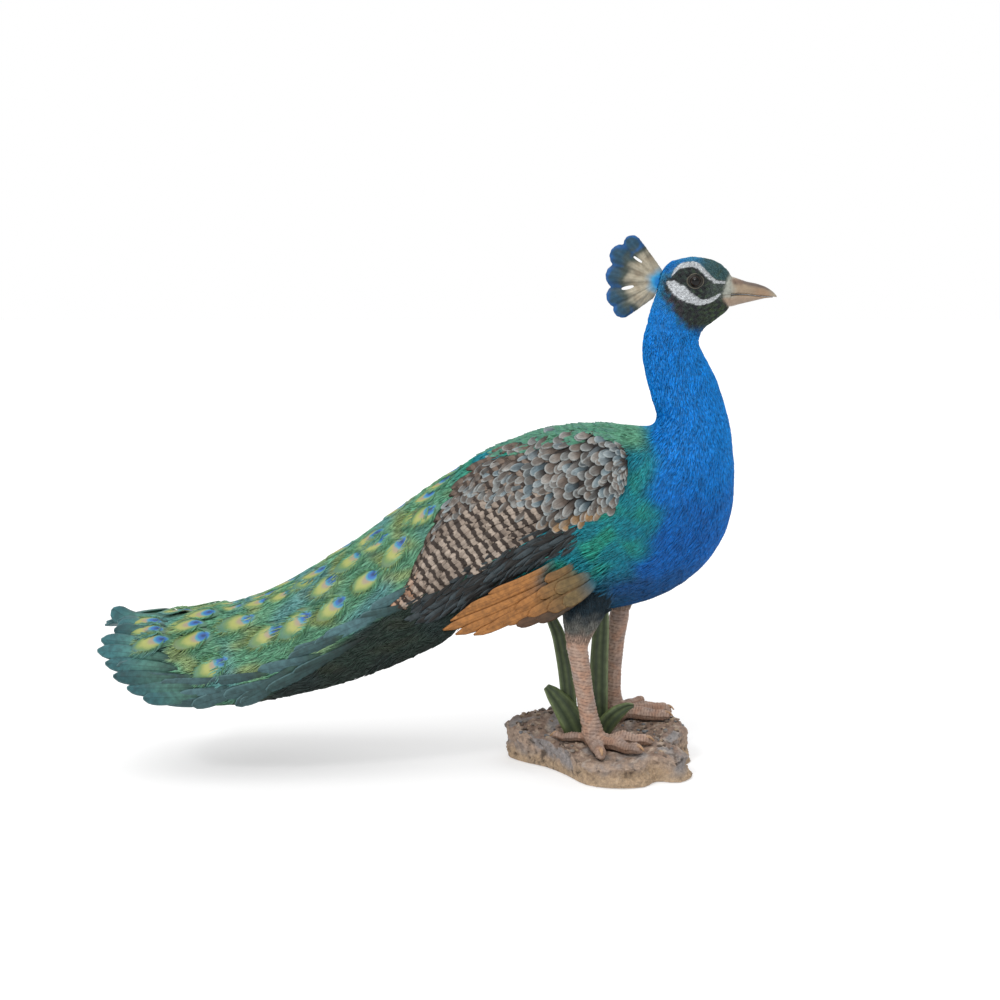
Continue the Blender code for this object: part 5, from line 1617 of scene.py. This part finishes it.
def make_crest():
    """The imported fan, remeshed finely, with its vanes parted by grooves and scored with barbs."""
    verts, tris = shell(["crest"], CREST_VOXEL, CREST_INSET, rounds=5, grow=CREST_GAPS)
    flat = verts[:, [0, 2]] - CREST_ROOT
    reach = np.linalg.norm(flat, axis=1)
    angle = np.degrees(np.arctan2(flat[:, 1], -flat[:, 0]))
    lobes = np.array(CREST_LOBES, float)
    vanes = np.degrees(np.arctan2(lobes[:, 1] - CREST_ROOT[1], CREST_ROOT[0] - lobes[:, 0]))
    gap = np.abs(angle[:, None] - vanes).min(axis=1)
    groove = ease(4.0, 11.0, gap) * ease(8, 24, reach)
    verts[:, 1] *= 1 - 0.42 * groove + 0.12 * ease(9, 0, gap) * ease(10, 40, reach)
    barb = np.sin(np.radians(angle) * 55 + 0.7 * np.sin(reach / 5)) * ease(14, 36, reach)
    verts += point_normals(verts, tris) * (0.16 * barb)[:, None]
    blur = wobble(verts, 9.0, 0.7)
    beige = mix("crest_beige", "crest_brown", 0.6 * ease(-0.2, 0.9, blur))
    edge = (np.linalg.norm(verts[:, None, [0, 2]] - lobes[None, :, :2], axis=2) / lobes[:, 2]).min(axis=1)
    blue = mix("crest_blue", "crest_rim", ease(0.55, 0.92, edge + 0.12 * blur))
    rounded = 7 * ease(44, 52, reach) * ease(0.5, 0.95, edge)
    colour = layered(COLOUR["azure"] * 0.8, ("crest_root", ease(4, 11, reach)),
                     (beige, ease(8, 20, reach + 2 * blur)),
                     ("crest_grey", ease(34, 48, reach + 2 * ease(2, 9, gap) + 3 * blur)),
                     (blue, ease(46, 58, reach + rounded + 3 * blur)))
    # Painted shade: darker in the grooves between the vanes, and darker and lighter with the carved barbs.
    colour = colour * (1 - 0.22 * groove)[:, None] * (1 + 0.1 * barb)[:, None]
    crest = mesh_object("crest_vanes", verts, tris, painted("crest", vary=(0.88, 1.12)),
                        np.clip(colour, 0, 1))
    piece(crest, "crest", "crest")


# ---------------------------------------------------------------- claws, rock, leaves
TOES = {
    RIGHT: [(-60, -24), (66, -54), (51, -88), (0, -106)],
    LEFT: [(-30, 50), (96, 34), (100, 66), (64, 98)],
}


TENTHS = np.linspace(0, 2 * math.pi, 10, endpoint=False)
OVAL_SECTION = np.stack([np.cos(TENTHS), np.sin(TENTHS)], 1)


def make_claws(surface):
    """A short blunt claw on the end of each toe."""
    length, sunk, drop, arch = 10.0, 2.6, 5.0, 1.0
    blades = Blades()
    rings = 9
    t = np.linspace(0, 1, rings)
    for side, tips in TOES.items():
        for tip in np.array(tips, float):
            ahead = unit(tip - ANKLES[side])
            start = tip - ahead * 9
            top = surface.tree.ray_cast((*start, 200.0), (0.0, 0.0, -1.0))[0]
            path = np.stack([start[0] + ahead[0] * length * t, start[1] + ahead[1] * length * t,
                             top[2] - sunk - drop * t**2 + arch * np.sin(t * math.pi)], 1)
            ups = np.tile(np.array([0, 0, 1.0]), (rings, 1))
            colour = mix("claw", "flesh", 0.5 * (1 - t))
            blades.add(path[None], ups[None], 3.0, 2.6, np.zeros(rings),
                       np.interp(t, [0, 0.5, 1], [1, 0.85, 0.35]), colour[None], 0.5, OVAL_SECTION,
                       taper=np.interp(t, [0, 1], [1, 0.3]))
    piece(blades.build("claws", painted("claw", rough=(0.3, 0.5))), "flesh")


ROCK_LUMPS = 4.0  # how far the base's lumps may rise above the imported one


def make_rock():
    """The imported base, roughened into ledges, lumps and grit."""
    verts, tris = shell(["rock"], ROCK_VOXEL, ROCK_INSET, rounds=1)
    normals = point_normals(verts, tris)
    relief = []
    for p in verts:
        broad = noise.fractal(p * 0.036, 0.85, 2.1, 5)
        lump = 1 - abs(noise.noise(p * 0.085))
        ledge = noise.noise((p[0] * 0.03, p[1] * 0.03, p[2] * 0.2))
        grit = abs(noise.noise(p * 0.36))
        knobs = 1 - abs(noise.noise((p[0] * 0.17 + 9.0, p[1] * 0.17, p[2] * 0.17)))
        relief.append(1.7 * broad + 2.0 * lump**3 + 1.5 * ledge + 1.6 * grit + 1.9 * knobs**4 - 3.0)
    relief = np.array(relief)
    crack = ease(-1.4, -3.2, relief)
    near_foot = np.zeros(len(verts))
    for side, tips in TOES.items():
        for tip in tips:
            line = [(*ANKLES[side], 9.0), (*tip, 7.0)]
            near_foot = np.maximum(near_foot, ease(1.9, 1.1, line_distance(verts[:, :2], line)))
    relief = relief * (1 - near_foot * ease(20, 34, verts[:, 2]))
    verts = verts + normals * relief[:, None] * ease(0.5, 6.0, verts[:, 2])[:, None]
    low, high = (np.array(v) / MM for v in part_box("rock"))
    verts = np.clip(verts, low, high + np.array([0, 0, ROCK_LUMPS]))
    colour = paint_rock(verts, normals, crack)
    piece(mesh_object("rock_base", verts, tris, rock_material(), colour), "rock", "rock")
    return Surface(verts, tris)


def paint_rock(p, normals, crack):
    """Tan below, grey and violet washes over the edges, brown earth on top, dark in the cracks."""
    z, up = p[:, 2], normals[:, 2]
    broad, fine = wobble(p, 34.0, 0.5), wobble(p, 9.0, 1.8)
    earth = layered("rock_earth", ("rock_side", ease(-0.1, 0.9, fine)),
                    ("rock_wash", 0.8 * ease(0.1, 0.8, wobble(p, 21.0, 2.4))))
    return layered("rock_side", ("rock_grey", ease(-0.3, 0.8, broad + 0.5 * fine)),
                   ("rock_tan", 0.85 * ease(24, 8, z + 7 * broad)),
                   (earth, 0.85 * (ease(0.55, 0.85, up) * ease(26, 34, z))),
                   ("rock_pale", 0.5 * ease(0.3, 1.0, fine) * ease(0.2, 0.7, up)),
                   ("rock_dark", 0.8 * crack))


def rock_material():
    """Painted stone with grit, pits and a dry finish."""
    sh = Shader("stone")
    place = sh.here()
    fine = sh.noise(place, 190.0, 5.0, 0.7)
    grit = sh.noise(place, 640.0, 3.0, 0.7)
    colour = sh.shaded_paint(sh.ramp(fine, 0.32, 0.68, 0.72, 1.25))
    colour = sh.mixed(sh.ramp(grit, 0.58, 0.70, 0.0, 0.6), colour, COLOUR["rock_dark"])
    height = sh.plus(fine, sh.times(grit, 0.6))
    return sh.finish(colour, sh.ramp(fine, 0.3, 0.7, 0.65, 0.9), height, 0.6, 0.0014)


# How often a pebble is tried, the height below which none lies, and the least and greatest half size.
PEBBLE_TRIES, PEBBLE_LEDGE, PEBBLE_SIZES = 520, 32, (1.2, 3.8)


def make_pebbles(surface):
    """Gravel on top of the base, thickest round its rim and behind the feet."""
    verts, tris, paint, start = [], [], [], 0
    bm = bmesh.new()
    bmesh.ops.create_icosphere(bm, subdivisions=2, radius=1.0)
    ball = np.array([v.co for v in bm.verts])
    faces = np.array([[v.index for v in f.verts] for f in bm.faces])
    bm.free()
    for _ in range(PEBBLE_TRIES):
        x, y = RNG.uniform(-105, 112), RNG.uniform(-112, 96)
        hit = surface.tree.ray_cast((x, y, 200.0), (0.0, 0.0, -1.0))
        near_rim = max(abs(x) / 112, abs(y + 8) / 104)
        if hit[0] is None or hit[0][2] < PEBBLE_LEDGE or RNG.random() > 0.35 + 0.65 * near_rim:
            continue
        size = RNG.uniform(*PEBBLE_SIZES) * np.array([1, RNG.uniform(0.7, 1), RNG.uniform(0.45, 0.7)])
        spin = RNG.uniform(0, math.pi)
        rough = 1 + 0.16 * np.sin(ball @ RNG.uniform(-4, 4, 3) + RNG.uniform(0, 6))
        local = ball * rough[:, None] * size
        turned = np.stack([local[:, 0] * math.cos(spin) - local[:, 1] * math.sin(spin),
                           local[:, 0] * math.sin(spin) + local[:, 1] * math.cos(spin), local[:, 2]], 1)
        verts.append(turned + np.array([x, y, hit[0][2] + 0.15 * size[2]]))
        tris.append(faces + start)
        paint.append(np.tile(linear(PEBBLE_PAINTS[RNG.integers(len(PEBBLE_PAINTS))]), (len(ball), 1)))
        start += len(ball)
    obj = mesh_object("pebbles", np.concatenate(verts), np.concatenate(tris),
                      painted("pebble", rough=(0.6, 0.85), grain=500.0, strength=0.5),
                      np.concatenate(paint))
    piece(obj, "rock")


# Leaves: centre line x, y, z with half width, and the way the flat side faces, in degrees from +X to +Y.
LEAVES = {
    "leaf_tall_rear": ([(-32, -6, 40, 8.5), (-37, -4, 80, 9.5), (-42, -2, 125, 9.5), (-50, 0, 165, 8.5),
                        (-61, 2, 189, 6.5)], -90),
    "leaf_tall_front": ([(3, 8, 44, 9.5), (1, 8, 85, 11.5), (1, 8, 130, 11.5), (3, 8, 170, 10.5),
                         (5, 6, 210, 7)], -90),
    "leaf_short_rear": ([(-25, -13, 38, 14), (-33, -13, 58, 16.5), (-46, -14, 79, 13.5), (-58, -15, 94, 9.5),
                         (-66, -15, 102, 4.5)], -75),
    "leaf_short_front": ([(4, -10, 40, 10), (12, -10, 56, 12), (24, -10, 68, 10), (36, -9, 75, 6),
                          (44, -8, 76, 2.5)], -80),
}
LEAF_SECTION = np.array([
    (-1, 0), (-0.5, -0.75), (0, -0.55), (0.5, -0.75), (1, 0), (0.7, 0.8), (0.35, 0.75), (0, 0.3),
    (-0.35, 0.75), (-0.7, 0.8),
])
LEAF_THICKNESS = 3.2


def make_leaves():
    """Four resin blades, one with its top cut off."""
    material = painted("leaf", rough=(0.35, 0.55), speckle=120.0)
    across = np.abs(LEAF_SECTION[:, 0])
    edge_or_vein = np.maximum(ease(0.55, 1.0, across), 0.35 * ease(0.25, 0.0, across))
    rings = 22
    for name, (rows, facing) in LEAVES.items():
        table = np.array(rows, float)
        at = np.linspace(0, len(rows) - 1, rings)
        path = np.array([np.interp(at, np.arange(len(rows)), column) for column in table.T]).T
        for _ in range(2):
            path[1:-1] = (path[:-2] + 2 * path[1:-1] + path[2:]) / 4
        up = np.array([math.cos(math.radians(facing)), math.sin(math.radians(facing)), 0.0])
        colours = np.tile(mix("leaf", "leaf_edge", edge_or_vein), (1, rings, 1, 1))
        if name == "leaf_tall_rear":
            colours[:, -1] = COLOUR["wing_bar"]
        blades = Blades()
        blades.add(path[None, :, :3], np.tile(up, (1, rings, 1)), 1.0, LEAF_THICKNESS, np.zeros(rings),
                   path[None, :, 3], colours, 0.5, LEAF_SECTION)
        piece(blades.build(name.replace("leaf_", "blade_"), material), "leaf", name)


# ---------------------------------------------------------------- stage
AMBIENT, BACKDROP = 0.64, 1.0
# Soft suns: name, where they shine from (degrees from behind the camera, towards +X), height, strength,
# and how wide they are in the sky.
LAMPS = [("key", -28, 56, 1.5, 60), ("spark", -32, 42, 0.5, 8), ("rim", 150, 40, 0.7, 60)]
FLOOR_REACH, FLOOR_GREY, FLOOR_GLOW = 9000, 0.6, 0.42
# Where the camera stands, in metres, how many degrees it looks down, and its lens in mm on a 36 mm sensor.
CAMERA_PLACE, CAMERA_DOWN, LENS, SENSOR = (-0.1239, -2.6, 0.72), 8.4, 76.1, 36.0


def make_stage():
    scene = bpy.context.scene
    scene.view_settings.view_transform = "Standard"
    scene.world = make_world()
    corners = [(-1, -1, 0), (1, -1, 0), (1, 1, 0), (-1, 1, 0)]
    floor = mesh_object("floor", np.array(corners) * FLOOR_REACH, [(0, 1, 2), (0, 2, 3)], floor_material())
    for name, turn, height, strength, angle in LAMPS:
        lamp = bpy.data.lights.new(name, "SUN")
        lamp.energy = strength
        lamp.angle = math.radians(angle)
        placed(lamp, (0, 0, 0), height, turn)
    camera = bpy.data.cameras.new("camera")
    camera.lens = LENS
    camera.sensor_width = SENSOR
    scene.camera = placed(camera, CAMERA_PLACE, CAMERA_DOWN, 0)


def placed(data, place, down, turn):
    """A lamp or camera in the scene, tipped down from level by some degrees and turned about Z."""
    obj = bpy.data.objects.new(data.name, data)
    obj.location = place
    obj.rotation_euler = (math.radians(90 - down), 0, math.radians(turn))
    bpy.context.scene.collection.objects.link(obj)
    return obj


def make_world():
    """A soft white light from all round, with a brighter white where the camera looks past the floor."""
    world = bpy.data.worlds.new("studio")
    world.use_nodes = True
    tree = world.node_tree
    lit, shown = tree.nodes["Background"], tree.nodes.new("ShaderNodeBackground")
    for background, strength in ((lit, AMBIENT), (shown, BACKDROP)):
        background.inputs["Color"].default_value = (1.0, 1.0, 1.0, 1.0)
        background.inputs["Strength"].default_value = strength
    path, either = tree.nodes.new("ShaderNodeLightPath"), tree.nodes.new("ShaderNodeMixShader")
    tree.links.new(path.outputs["Is Camera Ray"], either.inputs[0])
    tree.links.new(lit.outputs[0], either.inputs[1])
    tree.links.new(shown.outputs[0], either.inputs[2])
    tree.links.new(either.outputs[0], tree.nodes["World Output"].inputs["Surface"])
    return world


def floor_material():
    sh = Shader("floor")
    sh.surface.inputs["Emission Color"].default_value = (1, 1, 1, 1)
    sh.surface.inputs["Emission Strength"].default_value = FLOOR_GLOW
    return sh.finish(np.full(3, FLOOR_GREY), 0.9)


# ---------------------------------------------------------------- build
for startup in list(bpy.data.objects):
    bpy.data.objects.remove(startup)
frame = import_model()

EYE_GLASS = painted("eye", rough=(0.02, 0.04), vary=(0.9, 1.1), strength=0.02)
EYE_GLASS.node_tree.nodes["Principled BSDF"].inputs["Specular IOR Level"].default_value = 0.3
LID_SKIN = painted("lid", rough=(0.35, 0.5), grain=1400.0)
BILL_SKIN = painted("bill", rough=(0.34, 0.5), speckle=180.0, vary=(0.92, 1.08), grain=700.0, strength=0.12)

make_stage()
(body_v, body_t), (head_v, head_t), (leg_v, leg_t) = make_skin()
body, head, legs = Surface(body_v, body_t), Surface(head_v, head_t), Surface(leg_v, leg_t)
nodes = nearest_node(body.centres)

bare_face = ease(-1, 2, head_v[:, 0] - table_at(BILL_BASE, head_v[:, 2]))
on_thigh = ease(-3, 8, leg_v[:, 2] - thigh_end(leg_v))
# Painted shade: the shells under the coat are drawn darker than the coat between the feathers, while the
# bare face keeps its full paint.
skin_paint = np.concatenate([paint_skin(body_v, body.normals, nearest_node(body_v)),
                             mix(paint_neck(head_v, head.normals) * 0.6, paint_head(head_v), bare_face),
                             mix(paint_leg(leg_v), paint_thigh(leg_v) * 0.6, on_thigh)])
skin = mesh_object("skin", np.concatenate([body_v, head_v, leg_v]),
                   np.concatenate([body_t, head_t + len(body_v), leg_t + len(body_v) + len(head_v)]),
                   painted("skin", rough=(0.4, 0.6)), skin_paint)
piece(skin, "blue", *FEATHERED, *LEGS)

make_coats(body, head, nodes)

vane = {name: vane_material(name, *row) for name, row in VANES.items()}
for side, word in SIDES.items():
    barred, scales = barred_feathers(body, side), scale_feathers(body, side)
    build_vanes(f"barred_feathers_{word}", vane["barred_vanes"], "barred", [barred])
    build_vanes(f"wing_feathers_{word}", vane["wing_vanes"], "barred", [scales])
    build_vanes(f"secondary_feathers_{word}", vane["dark_vanes"], "dark", [secondary_feathers(body, side)])
    build_vanes(f"primary_feathers_{word}", vane["orange_vanes"], "orange", [primary_feathers(body, side)],
                [f"primaries_{word}"])
build_vanes("mantle_feathers", vane["teal_vanes"], "green", [mantle_feathers(body, nodes)])
build_vanes("train_edge_feathers", vane["teal_vanes"], "green",
            [*tip_feathers(body), *long_feathers(body)])
coat("train_eye_barbs", painted("barbs", rough=(0.34, 0.52)), "green", make_ocelli(body))
build_vanes("tail_feathers", vane["dark_vanes"], "dark", [tail_feathers()], ["tail"])

for half_name, upper in (("bill_upper", True), ("bill_lower", False)):
    piece(bill_half(half_name.replace("bill_", "beak_"), upper), "bill", half_name)
for side in SIDES:
    make_eye(head, side)
make_crest()
make_claws(legs)
ground = make_rock()
make_pebbles(ground)
make_leaves()
